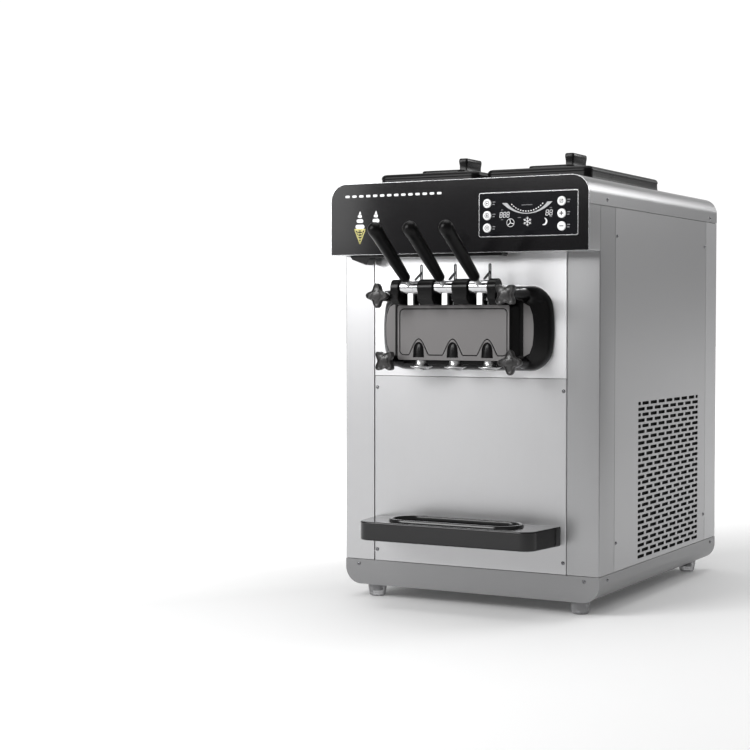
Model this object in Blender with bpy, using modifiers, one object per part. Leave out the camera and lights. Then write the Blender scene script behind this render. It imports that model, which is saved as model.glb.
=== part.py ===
"""Countertop soft serve machine with two hoppers and three draw handles, for Blender 4.5.

Metres, +Z up. The front faces -Y and +X is to the viewer's right. Everything hangs on one
empty, so the numbers below count y from the plane of the front panels and z from the floor.
"""

import math

import bmesh
import bpy
from mathutils import Matrix, Vector

# ---- cabinet ----
WIDTH = 0.540
DEPTH = 0.686
HALF = WIDTH / 2
FRONT_Y = -0.2248         # puts the middle of the whole machine over the origin
SHEET = 0.0015
SEAM = 0.001
GAP = 0.0003
FOOT_HEIGHT = 0.026
BASE_TOP = 0.075
SEAM_Z = 0.4416           # between the upper and lower front panels
HEADER_BOTTOM = 0.677
COVER_BOTTOM = 0.762
TOP = 0.815
EDGE_RADIUS = 0.033       # long edges of the cover and of the base
POST_X = 0.2055           # inner edge of the front posts
POST_LEG = 0.075
REAR_LEG_Y = 0.612
FOOT_X, FOOT_FRONT_Y, FOOT_REAR_Y = 0.218, 0.036, 0.652

# ---- header ----
HEADER_Y = -0.0567        # face of the fascia
FASCIA = 0.003
WINDOW_X = (0.0495, 0.2505)
WINDOW_Z = (0.704, 0.788)
BUTTON_X = (0.0675, 0.217)
BUTTON_Z = (0.7675, 0.745, 0.722)
BUTTON_RADIUS = 0.0085
BUTTON_TRAVEL = 0.001

# ---- dispensing head ----
VALVE_X = (-0.072, 0.0, 0.072)
VALVE_Y = -0.054
PIVOT_Y, PIVOT_Z = -0.095, 0.612
PIN_RADIUS = 0.004
HUB_RADIUS, HUB_LENGTH = 0.0125, 0.040
FLANGE_Y = -0.042
BLOCK_Y = -0.065
BLOCK_Z = (0.476, 0.580)
BORE_RADIUS = 0.009
LUG_END = 0.109
FORK_ANGLE = math.radians(-11)
LEVER_ANGLE = math.radians(36)
ROD_END, GRIP_START, GRIP_END = 0.060, 0.026, 0.188
KNOBS = ((-0.133, -0.120, 0.597, 0), (0.133, -0.120, 0.597, 45),
         (-0.131, -0.095, 0.473, 45), (0.131, -0.095, 0.473, 0))

KNOB_REAR = 0.015         # from a knob's face to the end of its boss

# ---- product side ----
HOPPER_X = 0.1175
HOPPER_SIZE = (0.188, 0.352, 0.165)
HOPPER_Y = 0.250
LID_X, LID_Y = (0.008, 0.227), (0.057, 0.439)
BARREL_X, BARREL_Z = 0.076, 0.528
BARREL_RADIUS, BARREL_BORE = 0.054, 0.048
BARREL_Y = (0.004, 0.304)
BEATER_RADIUS = 0.045
BELT_Y = 0.400
MOTOR_Z = 0.150
PULLEY_BIG, PULLEY_SMALL = 0.066, 0.022

# ---- drip tray ----
TRAY_TOP, TRAY_HEIGHT = 0.171, 0.0415
TRAY_DEPTH, TRAY_WALL_HALF, TRAY_FRONT_HALF = 0.112, 0.193, 0.184
RING_Y, RING_LENGTH, RING_WIDTH = -0.052, 0.275, 0.088

parts = None
cutters = None
machine = None


def start():
    """Empties the scene and makes the two collections and the empty that carries the machine."""
    global parts, cutters, machine
    for obj in list(bpy.data.objects):
        bpy.data.objects.remove(obj, do_unlink=True)
    parts = bpy.data.collections.new("soft_serve_machine")
    cutters = bpy.data.collections.new("cutters")
    cutters.hide_render = True
    for collection in (parts, cutters):
        bpy.context.scene.collection.children.link(collection)
    machine = bpy.data.objects.new("machine", None)
    machine.location = (0, FRONT_Y, 0)
    parts.objects.link(machine)


def finish_of(name, colour, roughness, metallic=0.0):
    found = bpy.data.materials.new(name)
    found.use_nodes = True
    shader = found.node_tree.nodes["Principled BSDF"]
    shader.inputs["Base Color"].default_value = (*colour, 1)
    shader.inputs["Roughness"].default_value = roughness
    shader.inputs["Metallic"].default_value = metallic
    return found


STEEL = finish_of("brushed_steel", (0.60, 0.60, 0.61), 0.32, 1.0)
CHROME = finish_of("chrome", (0.80, 0.80, 0.81), 0.08, 1.0)
BLACK = finish_of("black_plastic", (0.012, 0.012, 0.013), 0.35)
GLOSS = finish_of("gloss_black", (0.010, 0.010, 0.011), 0.12)
GREY = finish_of("dark_grey_plastic", (0.05, 0.05, 0.05), 0.45)
WHITE = finish_of("white_plastic", (0.80, 0.80, 0.80), 0.30)
CLEAR = finish_of("clear_grey_rubber", (0.50, 0.50, 0.52), 0.30)
CAST = finish_of("cast_aluminium", (0.45, 0.45, 0.46), 0.50, 1.0)
RUBBER = finish_of("black_rubber", (0.020, 0.020, 0.020), 0.80)
PAINT = finish_of("black_paint", (0.015, 0.015, 0.016), 0.40)
ALLOY = finish_of("fin_aluminium", (0.65, 0.65, 0.66), 0.35, 1.0)


# ---- shapes ----
def place(mesh, name, material, cutter=False, origin=(0, 0, 0), sharp=35):
    """A mesh as an object on the machine, with its origin moved to the point given."""
    obj = bpy.data.objects.new(name, mesh)
    (cutters if cutter else parts).objects.link(obj)
    obj.parent = machine
    obj.location = origin
    mesh.transform(Matrix.Translation(-Vector(origin)))
    if cutter:
        obj.hide_render = True
        obj.display_type = "WIRE"
    else:
        mesh.materials.clear()
        mesh.materials.append(material)
        mesh.shade_smooth()
        mesh.set_sharp_from_angle(angle=math.radians(sharp))
    return obj


def to_axis(axis):
    """The rotation that lays a shape made along Z, or drawn in XY, along X, Y or Z."""
    return {"x": Matrix.Rotation(math.pi / 2, 4, "Z") @ Matrix.Rotation(math.pi / 2, 4, "X"),
            "y": Matrix.Rotation(math.pi / 2, 4, "X"),
            "z": Matrix.Identity(4)}[axis]


def arc(x, y, radius, start, end, steps):
    turns = [math.radians(start + (end - start) * i / steps) for i in range(steps + 1)]
    return [(x + radius * math.cos(t), y + radius * math.sin(t)) for t in turns]


def rounded(x0, y0, x1, y1, radii, steps=6):
    """A rectangle whose corners, from lower left and anticlockwise, have these radii."""
    corners = ((x0, y0, 1, 1, 180), (x1, y0, -1, 1, 270), (x1, y1, -1, -1, 0), (x0, y1, 1, -1, 90))
    points = []
    for (x, y, sx, sy, turn), r in zip(corners, radii):
        if r:
            points += arc(x + sx * r, y + sy * r, r, turn, turn + 90, steps)
        else:
            points.append((x, y))
    return [p for i, p in enumerate(points) if math.dist(p, points[i - 1]) > 0.00001]


def circle(x, y, radius, steps=20):
    return arc(x, y, radius, 0, 360, steps)[:-1]


def slab_mesh(outlines, low, high, axis):
    """Flat outlines, the inner ones being holes, as a 2D curve filled and extruded along axis."""
    curve = bpy.data.curves.new("outline", "CURVE")
    curve.dimensions = "2D"
    curve.fill_mode = "BOTH"
    curve.extrude = (high - low) / 2
    for outline in outlines:
        spline = curve.splines.new("POLY")
        spline.points.add(len(outline) - 1)
        for point, (x, y) in zip(spline.points, outline):
            point.co = (x, y, 0, 1)
        spline.use_cyclic_u = True
    guide = bpy.data.objects.new("outline", curve)
    cutters.objects.link(guide)
    bpy.context.view_layer.update()
    graph = bpy.context.evaluated_depsgraph_get()
    mesh = bpy.data.meshes.new_from_object(guide.evaluated_get(graph))
    bpy.data.objects.remove(guide)
    bpy.data.curves.remove(curve)
    shape = bmesh.new()
    shape.from_mesh(mesh)
    bmesh.ops.remove_doubles(shape, verts=shape.verts, dist=0.00001)
    bmesh.ops.recalc_face_normals(shape, faces=shape.faces)
    # Facing Y, a drawing's own Z comes out as -Y.
    middle = (low + high) / 2 * (-1 if axis == "y" else 1)
    shape.transform(to_axis(axis) @ Matrix.Translation((0, 0, middle)))
    shape.to_mesh(mesh)
    shape.free()
    return mesh


def slab(name, outlines, low, high, axis, material=None, cutter=False, origin=(0, 0, 0)):
    return place(slab_mesh(outlines, low, high, axis), name, material, cutter, origin)


def block(name, low, high, material=None, bevel=0.0, cutter=False, steps=2, origin=(0, 0, 0)):
    shape = bmesh.new()
    bmesh.ops.create_cube(shape, size=1)
    size = [b - a for a, b in zip(low, high)]
    middle = [(a + b) / 2 for a, b in zip(low, high)]
    bmesh.ops.scale(shape, vec=size, verts=shape.verts)
    bmesh.ops.translate(shape, vec=middle, verts=shape.verts)
    mesh = bpy.data.meshes.new(name)
    shape.to_mesh(mesh)
    shape.free()
    obj = place(mesh, name, material, cutter, origin)
    if bevel:
        edge = obj.modifiers.new("edges", "BEVEL")
        edge.width = bevel
        edge.segments = steps
    return obj


def rod(name, axis, centre, radius, length, material=None, steps=20, cutter=False, radius2=None,
        origin=None):
    """A round bar about centre. radius2 is the radius of its far end on the axis."""
    shape = bmesh.new()
    bmesh.ops.create_cone(shape, cap_ends=True, segments=steps, radius1=radius,
                          radius2=radius if radius2 is None else radius2, depth=length)
    lay = {"x": Matrix.Rotation(math.pi / 2, 4, "Y"), "y": Matrix.Rotation(-math.pi / 2, 4, "X"),
           "z": Matrix.Identity(4)}[axis]
    shape.transform(Matrix.Translation(centre) @ lay)
    mesh = bpy.data.meshes.new(name)
    shape.to_mesh(mesh)
    shape.free()
    return place(mesh, name, material, cutter, origin or (0, 0, 0))


def turned(name, profile, centre, axis, material=None, steps=24, cutter=False, closed=False,
           flip=False):
    """A profile of (radius, height), top to bottom down its outer side, turned about its axis."""
    mesh = bpy.data.meshes.new(name)
    edges = [(i, i + 1) for i in range(len(profile) - 1)]
    if closed:
        edges.append((len(profile) - 1, 0))
    mesh.from_pydata([(r, 0, z) for r, z in profile], edges, [])
    obj = bpy.data.objects.new(name, mesh)
    (cutters if cutter else parts).objects.link(obj)
    obj.parent = machine
    obj.location = centre
    obj.rotation_euler = {"x": (0, math.pi / 2, 0), "y": (-math.pi / 2, 0, 0), "z": (0, 0, 0)}[axis]
    spin = obj.modifiers.new("turn", "SCREW")
    spin.steps = spin.render_steps = steps
    spin.use_merge_vertices = True
    spin.merge_threshold = 0.00001
    spin.use_normal_flip = flip
    if cutter:
        obj.hide_render = True
        obj.display_type = "WIRE"
    else:
        mesh.materials.append(material)
    return obj


def change(obj, tools, operation):
    for tool in tools if isinstance(tools, (list, tuple)) else [tools]:
        step = obj.modifiers.new(operation.lower(), "BOOLEAN")
        step.operation = operation
        step.object = tool
    return obj


def cut(obj, tools):
    return change(obj, tools, "DIFFERENCE")


def join(obj, tools):
    return change(obj, tools, "UNION")


# ---- cabinet ----
def channel(x, front, leg, sheet=SHEET):
    """Outline in XY of a sheet folded back at both sides."""
    back = front + leg
    return [(-x, front), (x, front), (x, back), (x - sheet, back), (x - sheet, front + sheet),
            (-x + sheet, front + sheet), (-x + sheet, back), (-x, back)]


def make_base():
    radii = (EDGE_RADIUS, EDGE_RADIUS, 0, 0)
    inner = (EDGE_RADIUS - SHEET, EDGE_RADIUS - SHEET, 0, 0)
    pan = slab("base_pan", [rounded(-HALF, FOOT_HEIGHT, HALF, BASE_TOP, radii)], 0, DEPTH, "y",
               STEEL)
    room = slab("base_room", [rounded(-HALF + SHEET, FOOT_HEIGHT + SHEET, HALF - SHEET,
                                      BASE_TOP + 0.01, inner)], SHEET, DEPTH - SHEET, "y",
                cutter=True)
    cut(pan, room)
    for side, x in (("left", -FOOT_X), ("right", FOOT_X)):
        for end, y in (("front", FOOT_FRONT_Y), ("rear", FOOT_REAR_Y)):
            turned(f"foot_{end}_{side}",
                   [(0, FOOT_HEIGHT - GAP), (0.0195, FOOT_HEIGHT - GAP), (0.0190, 0.016),
                    (0.0150, 0.002), (0.0135, 0), (0, 0)], (x, y, 0), "z", CLEAR, 16)


def make_cover():
    radii = (0, 0, EDGE_RADIUS, EDGE_RADIUS)
    inner = (0, 0, EDGE_RADIUS - SHEET, EDGE_RADIUS - SHEET)
    front = HEADER_Y + FASCIA + GAP
    cover = slab("top_cover", [rounded(-HALF, COVER_BOTTOM, HALF, TOP, radii)], front, DEPTH, "y",
                 STEEL)
    room = slab("cover_room", [rounded(-HALF + SHEET, COVER_BOTTOM - 0.01, HALF - SHEET,
                                       TOP - SHEET, inner)], front - 0.01, DEPTH - SHEET, "y",
                cutter=True)
    cut(cover, room)
    for side in (-1, 1):
        x, y = HOPPER_SIZE[0] / 2 + 0.001, HOPPER_SIZE[1] / 2 + 0.001
        middle = side * HOPPER_X
        cut(cover, slab(f"hopper_opening_{side}",
                        [rounded(middle - x, HOPPER_Y - y, middle + x, HOPPER_Y + y, (0.021,) * 4, 2)],
                        TOP - 0.01, TOP + 0.01, "z", cutter=True))


def make_posts():
    top = COVER_BOTTOM - SEAM
    for name, side in (("left", -1), ("right", 1)):
        leg = [(POST_X, 0), (HALF, 0), (HALF, POST_LEG), (HALF - SHEET, POST_LEG),
               (HALF - SHEET, SHEET), (POST_X, SHEET)]
        outline = [(side * x, y) for x, y in leg]
        slab(f"front_post_{name}", [outline], BASE_TOP + SEAM, top, "z", STEEL)


def make_front_panels():
    x = POST_X - SEAM
    upper = slab("front_panel_upper", [channel(x, 0, 0.012)], SEAM_Z + SEAM / 2,
                 COVER_BOTTOM - SEAM, "z", STEEL)
    for side in (-1, 1):
        cut(upper, rod(f"barrel_hole_{side}", "y", (side * BARREL_X, 0, BARREL_Z),
                       BARREL_RADIUS + 0.001, 0.02, steps=24, cutter=True))
    lower = slab("front_panel_lower", [channel(x, 0, 0.012)], BASE_TOP + SEAM, SEAM_Z - SEAM / 2,
                 "z", STEEL)
    for side in (-1, 1):
        cut(lower, block(f"hook_slot_{side}", (side * 0.15 - 0.012, -0.01, 0.143),
                         (side * 0.15 + 0.012, 0.01, 0.156), cutter=True))


def make_side_panels():
    """The vents are rows of slots, every second row shifted by half a pitch."""
    y_low, y_high, rows, columns = 0.205, 0.568, 8, 3
    z_low, z_high = 0.089, 0.388
    pitch, rise = (y_high - y_low) / columns, (z_high - z_low) / rows
    slots = []
    for row in range(rows):
        z = z_low + rise * (row + 0.5)
        shift = pitch * (0.25 if row % 2 else -0.25)
        for column in range(columns):
            y = y_low + pitch * (column + 0.5) + shift * 0.9
            slots.append(rounded(y - 0.047, z - 0.011, y + 0.047, z + 0.011, (0,) * 4))
    edge = [(POST_LEG + SEAM, BASE_TOP + SEAM), (REAR_LEG_Y - SEAM, BASE_TOP + SEAM),
            (REAR_LEG_Y - SEAM, COVER_BOTTOM - SEAM), (POST_LEG + SEAM, COVER_BOTTOM - SEAM)]
    for name, side in (("left", -1), ("right", 1)):
        low, high = sorted((side * HALF, side * (HALF - SHEET)))
        slab(f"side_panel_{name}", [edge] + slots, low, high, "x", STEEL)


def make_rear():
    back = DEPTH
    outline = [(x, back - (y - 0)) for x, y in channel(HALF, 0, DEPTH - REAR_LEG_Y)]
    panel = slab("rear_panel", [outline], BASE_TOP + SEAM, COVER_BOTTOM - SEAM, "z", STEEL)
    for row in range(6):
        z = 0.50 + row * 0.026
        cut(panel, block(f"rear_vent_{row}", (-0.13, back - 0.01, z), (0.13, back + 0.01, z + 0.008),
                         cutter=True))
    cut(panel, rod("gland_hole", "y", (-0.19, back, 0.14), 0.0095, 0.02, cutter=True, steps=16))
    turned("cable_gland", [(0.0045, 0.013), (0.007, 0.013), (0.010, 0.006), (0.015, 0.006),
                           (0.015, GAP), (0.009, GAP), (0.009, -0.008), (0.0045, -0.008)],
           (-0.19, back, 0.14), "y", BLACK, 12, closed=True)


# ---- header ----
def make_header():
    back = -SEAM
    front = HEADER_Y + FASCIA + GAP
    low, high = HEADER_BOTTOM, COVER_BOTTOM - SEAM
    x = HALF
    section = [(-x, low), (x, low), (x, high), (x - SHEET, high), (x - SHEET, low + SHEET),
               (-x + SHEET, low + SHEET), (-x + SHEET, high), (-x, high)]
    slab("header_housing", [section], front, back, "y", STEEL)
    face = rounded(-HALF, HEADER_BOTTOM, HALF, TOP, (0, 0, EDGE_RADIUS, EDGE_RADIUS))
    window = rounded(WINDOW_X[0], WINDOW_Z[0], WINDOW_X[1], WINDOW_Z[1], (0.005,) * 4, 3)
    slab("header_fascia", [face, window], HEADER_Y, HEADER_Y + FASCIA, "y", GLOSS)
    pane = rounded(WINDOW_X[0] + GAP, WINDOW_Z[0] + GAP, WINDOW_X[1] - GAP, WINDOW_Z[1] - GAP,
                   (0.0047,) * 4, 3)
    holes = [circle(bx, bz, BUTTON_RADIUS + GAP, 12) for bx in BUTTON_X for bz in BUTTON_Z]
    slab("display_panel", [pane] + holes, HEADER_Y - 0.0005, HEADER_Y + FASCIA, "y", GLOSS)
    for side, bx in zip(("left", "right"), BUTTON_X):
        for place_name, bz in zip(("top", "middle", "bottom"), BUTTON_Z):
            turned(f"button_{side}_{place_name}",
                   [(0, 0.0060), (BUTTON_RADIUS + 0.002, 0.0060), (BUTTON_RADIUS + 0.002, 0.0048),
                    (BUTTON_RADIUS, 0.0048), (BUTTON_RADIUS, -0.0014), (BUTTON_RADIUS - 0.001, -0.0020),
                    (0, -0.0020)], (bx, HEADER_Y, bz), "y", WHITE, 12)
    lamp = slab("header_lamp", [[(-0.239, HEADER_BOTTOM - GAP), (-0.232, HEADER_BOTTOM - 0.0085),
                                 (-0.200, HEADER_BOTTOM - 0.0190), (-0.194, HEADER_BOTTOM - 0.0060),
                                 (0.091, HEADER_BOTTOM - 0.0060), (0.094, HEADER_BOTTOM - GAP)]],
                -0.044, -0.012, "y", BLACK)
    return lamp


# ---- dispensing head ----
def loft(name, rings, material):
    """Faces between outlines of equal length: the flange's section changes as it goes back."""
    shape = bmesh.new()
    loops = [[shape.verts.new(point) for point in ring] for ring in rings]
    for first, second in zip(loops, loops[1:]):
        for i in range(len(first)):
            j = (i + 1) % len(first)
            shape.faces.new((first[i], first[j], second[j], second[i]))
    shape.faces.new(list(reversed(loops[0])))
    shape.faces.new(loops[-1])
    bmesh.ops.recalc_face_normals(shape, faces=shape.faces)
    mesh = bpy.data.meshes.new(name)
    shape.to_mesh(mesh)
    shape.free()
    return mesh


def flange_ring(y, half, low, high, bulge, corner):
    """A rounded rectangle in XZ whose sides swell outwards by bulge at mid-height."""
    points = rounded(-half, low, half, high, (corner,) * 4, 4)
    middle, reach = (low + high) / 2, (high - low) / 2
    swollen = []
    for x, z in points:
        swell = bulge * (1 - ((z - middle) / reach) ** 2) if abs(x) > half - corner else 0
        swollen.append((x + math.copysign(swell, x), y, z))
    return swollen


def make_head_body():
    rings = [flange_ring(FLANGE_Y, 0.148, 0.475, 0.590, 0.010, 0.022),
             flange_ring(-0.036, 0.157, 0.466, 0.602, 0.010, 0.028),
             flange_ring(-0.018, 0.166, 0.457, 0.612, 0.011, 0.034),
             flange_ring(-GAP, 0.168, 0.455, 0.616, 0.011, 0.036)]
    head = place(loft("head_body", rings, BLACK), "head_body", BLACK)
    face = rounded(-0.116, BLOCK_Z[0], 0.116, BLOCK_Z[1], (0.008,) * 4, 3)
    root = rounded(-0.131, BLOCK_Z[0] - 0.001, 0.131, BLOCK_Z[1] + 0.002, (0.010,) * 4, 3)
    front = loft("head_block", [[(x, BLOCK_Y, z) for x, z in face],
                                [(x, -0.035, z) for x, z in root]], BLACK)
    tools = [place(front, "head_block", None, cutter=True)]
    half_gap = HUB_LENGTH / 2 + 0.001
    spans = [(-LUG_END, VALVE_X[0] - half_gap), (VALVE_X[0] + half_gap, VALVE_X[1] - half_gap),
             (VALVE_X[1] + half_gap, VALVE_X[2] - half_gap), (VALVE_X[2] + half_gap, LUG_END)]
    for i, (x0, x1) in enumerate(spans):
        lug = [(-0.030, 0.570), (-0.030, 0.600)]
        lug += arc(PIVOT_Y, PIVOT_Z - 0.006, 0.0245, 60, 300, 10)
        tools.append(slab(f"lug_{i}", [lug], x0, x1, "x", cutter=True))
    for i, (x, y, z, _) in enumerate(KNOBS):
        near, far = y + KNOB_REAR + GAP, FLANGE_Y + 0.008
        tools.append(rod(f"stud_boss_{i}", "y", (x, (near + far) / 2, z), 0.0105, far - near,
                         steps=12, cutter=True))
    join(head, tools)
    holes = []
    for i, x in enumerate(VALVE_X):
        holes.append(rod(f"bore_{i}", "z", (x, VALVE_Y, 0.530), BORE_RADIUS, 0.14, steps=20,
                         cutter=True))
        arch = [(x - 0.01225, BLOCK_Z[0] - 0.01)] + [(x + 0.01225, BLOCK_Z[0] - 0.01)]
        arch += arc(x, BLOCK_Z[0] + 0.0185, 0.01225, 0, 180, 8)
        holes.append(slab(f"arch_{i}", [arch], BLOCK_Y - 0.02, BLOCK_Y + 0.009, "y", cutter=True))
    holes.append(rod("pin_bore", "x", (0, PIVOT_Y, PIVOT_Z), PIN_RADIUS + GAP, 0.23, steps=12,
                     cutter=True))
    for side in (-1, 1):
        holes.append(rod(f"barrel_mouth_{side}", "y", (side * BARREL_X, 0.002, BARREL_Z),
                         0.040, 0.036, steps=20, cutter=True))
    cut(head, holes)
    rod("pivot_pin", "x", (0, PIVOT_Y, PIVOT_Z), PIN_RADIUS, 0.214, CHROME, 12)


def lever_point(distance, angle=LEVER_ANGLE):
    """A point that far from the pivot, forward and up at the angle."""
    return Vector((0, -math.cos(angle), math.sin(angle))) * distance


def along(angle):
    """Lays a shape made along Z on the line that runs forward and up at the angle."""
    return Matrix.Rotation(math.pi / 2 - angle, 4, "X")


def make_levers():
    for name, x in zip(("left", "centre", "right"), VALVE_X):
        pivot = Vector((x, PIVOT_Y, PIVOT_Z))
        hub = rod(f"lever_{name}", "x", pivot, HUB_RADIUS, HUB_LENGTH, CHROME, 16, origin=pivot)
        stem = block(f"stem_{name}", (x - 0.006, PIVOT_Y - 0.004, PIVOT_Z - 0.033),
                     (x + 0.006, PIVOT_Y + 0.004, PIVOT_Z - 0.006), cutter=True)
        shank = rod(f"shank_{name}", "z", (0, 0, 0), 0.0045, ROD_END - 0.006, steps=12, cutter=True)
        shank.data.transform(Matrix.Translation(pivot + lever_point((ROD_END + 0.006) / 2))
                             @ along(LEVER_ANGLE))
        prongs = []
        for side in (-1, 1):
            prong = [(0, -0.0040), (0.050, -0.0030), (0.050, 0.0030), (0, 0.0040)]
            turned_prong = [(PIVOT_Y + d * math.cos(FORK_ANGLE) - h * math.sin(FORK_ANGLE),
                             PIVOT_Z + d * math.sin(FORK_ANGLE) + h * math.cos(FORK_ANGLE))
                            for d, h in prong]
            low, high = sorted((x + side * 0.0050, x + side * 0.0085))
            prongs.append(slab(f"prong_{name}_{side}", [turned_prong], low, high, "x", cutter=True))
        join(hub, [stem, shank] + prongs)
        cut(hub, rod(f"hub_bore_{name}", "x", pivot, PIN_RADIUS + GAP, 0.06, steps=12, cutter=True))
        make_grip(name, pivot)


def make_grip(name, pivot):
    tip, wide, narrow = 0.0136, 0.0136, 0.0102
    profile = [(0, GRIP_END)] + [
        (tip * math.sin(a), GRIP_END - tip + tip * math.cos(a))
        for a in (math.radians(25), math.radians(50), math.radians(75))]
    profile += [(wide, GRIP_END - 0.022), (narrow, GRIP_START + 0.006), (0.0075, GRIP_START),
                (0.0048, GRIP_START), (0.0048, ROD_END + 0.003), (0, ROD_END + 0.003)]
    grip = turned(f"lever_grip_{name}", profile, pivot, "z", BLACK, 12)
    grip.rotation_euler = (math.pi / 2 - LEVER_ANGLE, 0, 0)


def make_valves():
    cross_z = PIVOT_Z - 0.0018
    for name, x in zip(("left", "centre", "right"), VALVE_X):
        profile = [(0, 0.657), (0.0030, 0.656), (0.0032, 0.560), (BORE_RADIUS - GAP, 0.556),
                   (BORE_RADIUS - GAP, 0.484), (0.0040, 0.480), (0, 0.480)]
        piston = turned(f"valve_piston_{name}", profile, (x, VALVE_Y, 0), "z", CHROME, 12)
        join(piston, rod(f"cross_{name}", "x", (x, VALVE_Y, cross_z), 0.0024, 0.021, steps=10,
                         cutter=True))
        turned(f"nozzle_cap_{name}",
               [(0.0085, 0.4745), (0.0115, 0.4745), (0.0115, 0.4700), (0.0150, 0.4639),
                (0.0215, 0.4633), (0.0215, 0.4619), (0.0135, 0.4585), (0.0125, 0.4560),
                (0.0070, 0.4560),
                (0.0070, 0.4640), (0.0085, 0.4700)], (x, VALVE_Y, 0), "z", CHROME, 12, closed=True)


def make_knobs():
    names = ("upper_left", "upper_right", "lower_left", "lower_right")
    lobes, tips, waist = 4, 0.0235, 0.0155
    for name, (x, y, z, turn) in zip(names, KNOBS):
        outline = []
        points = 24
        for i in range(points):
            a = 2 * math.pi * i / points
            r = waist + (tips - waist) * (0.5 + 0.5 * math.cos(lobes * a)) ** 0.8
            b = a + math.radians(turn)
            outline.append((x + r * math.cos(b), z + r * math.sin(b)))
        knob = slab(f"star_knob_{name}", [outline], y, y + 0.013, "y", BLACK, origin=(x, y, z))
        join(knob, [rod(f"knob_boss_{name}", "y", (x, y + KNOB_REAR - 0.009, z), 0.0095, 0.018,
                        steps=12, cutter=True)])


# ---- product side ----
def make_hoppers():
    w, l, depth = (HOPPER_SIZE[0] / 2, HOPPER_SIZE[1] / 2, HOPPER_SIZE[2])
    rim_bottom, rim_top = TOP + GAP, TOP + GAP + 0.0015
    for name, side in (("left", -1), ("right", 1)):
        x = side * HOPPER_X
        rim = slab(f"hopper_{name}", [rounded(x - w - 0.007, HOPPER_Y - l - 0.007, x + w + 0.007,
                                              HOPPER_Y + l + 0.007, (0.026,) * 4, 2)],
                   rim_bottom, rim_top, "z", STEEL)
        shell = slab(f"hopper_shell_{name}", [rounded(x - w, HOPPER_Y - l, x + w, HOPPER_Y + l,
                                                      (0.020,) * 4, 2)],
                     TOP - depth, rim_bottom + 0.001, "z", cutter=True)
        join(rim, [shell, rod(f"feed_tube_{name}", "z", (side * 0.082, 0.115, TOP - depth - 0.028),
                              0.011, 0.064, steps=8, cutter=True)])
        room = slab(f"hopper_room_{name}", [rounded(x - w + SHEET, HOPPER_Y - l + SHEET,
                                                    x + w - SHEET, HOPPER_Y + l - SHEET,
                                                    (0.0185,) * 4, 2)],
                    TOP - depth + SHEET, TOP + 0.02, "z", cutter=True)
        cut(rim, [room, rod(f"feed_bore_{name}", "z", (side * 0.082, 0.115, TOP - depth - 0.03),
                            0.0085, 0.11, steps=8, cutter=True)])


def make_lids():
    seat = TOP + GAP + 0.0015 + GAP
    for name, side in (("left", -1), ("right", 1)):
        x0, x1 = sorted((side * LID_X[0], side * LID_X[1]))
        lid = slab(f"hopper_lid_{name}", [rounded(x0, LID_Y[0], x1, LID_Y[1], (0.016,) * 4, 3)],
                   seat, 0.8415, "z", BLACK)
        edge = lid.modifiers.new("edges", "BEVEL")
        edge.width = 0.007
        edge.segments = 2
        edge.limit_method = "ANGLE"
        edge.angle_limit = math.radians(50)
        middle = side * HOPPER_X
        raised = slab(f"lid_panel_{name}", [rounded(middle - 0.048, 0.118, middle + 0.048, 0.382,
                                                    (0.014,) * 4, 3)], 0.835, 0.8510, "z",
                      cutter=True)
        grip = block(f"lid_knob_{name}", (middle - 0.010, 0.215, 0.842),
                     (middle + 0.010, 0.287, 0.8830), bevel=0.004, cutter=True)
        w, l = HOPPER_SIZE[0] / 2 - SHEET - 0.003, HOPPER_SIZE[1] / 2 - SHEET - 0.003
        skirt = slab(f"lid_skirt_{name}", [rounded(middle - w, HOPPER_Y - l, middle + w,
                                                   HOPPER_Y + l, (0.016,) * 4, 3)],
                     TOP - 0.006, seat + 0.004, "z", cutter=True)
        hollow = slab(f"lid_hollow_{name}", [rounded(middle - w + 0.003, HOPPER_Y - l + 0.003,
                                                     middle + w - 0.003, HOPPER_Y + l - 0.003,
                                                     (0.013,) * 4, 3)],
                      TOP - 0.02, 0.8355, "z", cutter=True)
        join(lid, [raised, grip, skirt])
        cut(lid, hollow)


def make_barrels():
    y0, y1 = BARREL_Y
    for name, side in (("left", -1), ("right", 1)):
        x = side * BARREL_X
        barrel = turned(f"freezing_cylinder_{name}",
                        [(BARREL_RADIUS, y1), (BARREL_RADIUS, y0), (BARREL_BORE, y0),
                         (BARREL_BORE, y1 - 0.006), (0.0075, y1 - 0.006), (0.0075, y1)],
                        (x, 0, BARREL_Z), "y", STEEL, 20, closed=True)
        cut(barrel, rod(f"inlet_{name}", "z", (side * 0.082, 0.115, BARREL_Z + 0.05), 0.0085, 0.03,
                        steps=16, cutter=True))
        make_beater(name, x, side)


def make_beater(name, x, hand):
    """A shaft with a helical blade joined to it. The two beaters are of opposite hand."""
    start, end, turns, steps = 0.012, 0.290, 2, 24
    shaft = rod(f"beater_{name}", "y", (x, 0.162, BARREL_Z), 0.0065, 0.304, CHROME, 12,
                origin=(x, 0.162, BARREL_Z))
    shape = bmesh.new()
    sections = []
    for i in range(steps + 1):
        turn = hand * (0.11 + 2 * math.pi * turns * i / steps)
        y = start + (end - start) * i / steps
        section = [shape.verts.new((x + r * math.cos(turn), y + dy, BARREL_Z + r * math.sin(turn)))
                   for r, dy in ((0.003, -0.0025), (BEATER_RADIUS, -0.0025),
                                 (BEATER_RADIUS, 0.0025), (0.003, 0.0025))]
        sections.append(section)
    for first, second in zip(sections, sections[1:]):
        for k in range(4):
            shape.faces.new((first[k], first[(k + 1) % 4], second[(k + 1) % 4], second[k]))
    shape.faces.new(sections[0])
    shape.faces.new(sections[-1])
    bmesh.ops.recalc_face_normals(shape, faces=shape.faces)
    mesh = bpy.data.meshes.new("blade")
    shape.to_mesh(mesh)
    shape.free()
    join(shaft, place(mesh, f"blade_{name}", None, cutter=True))


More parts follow.
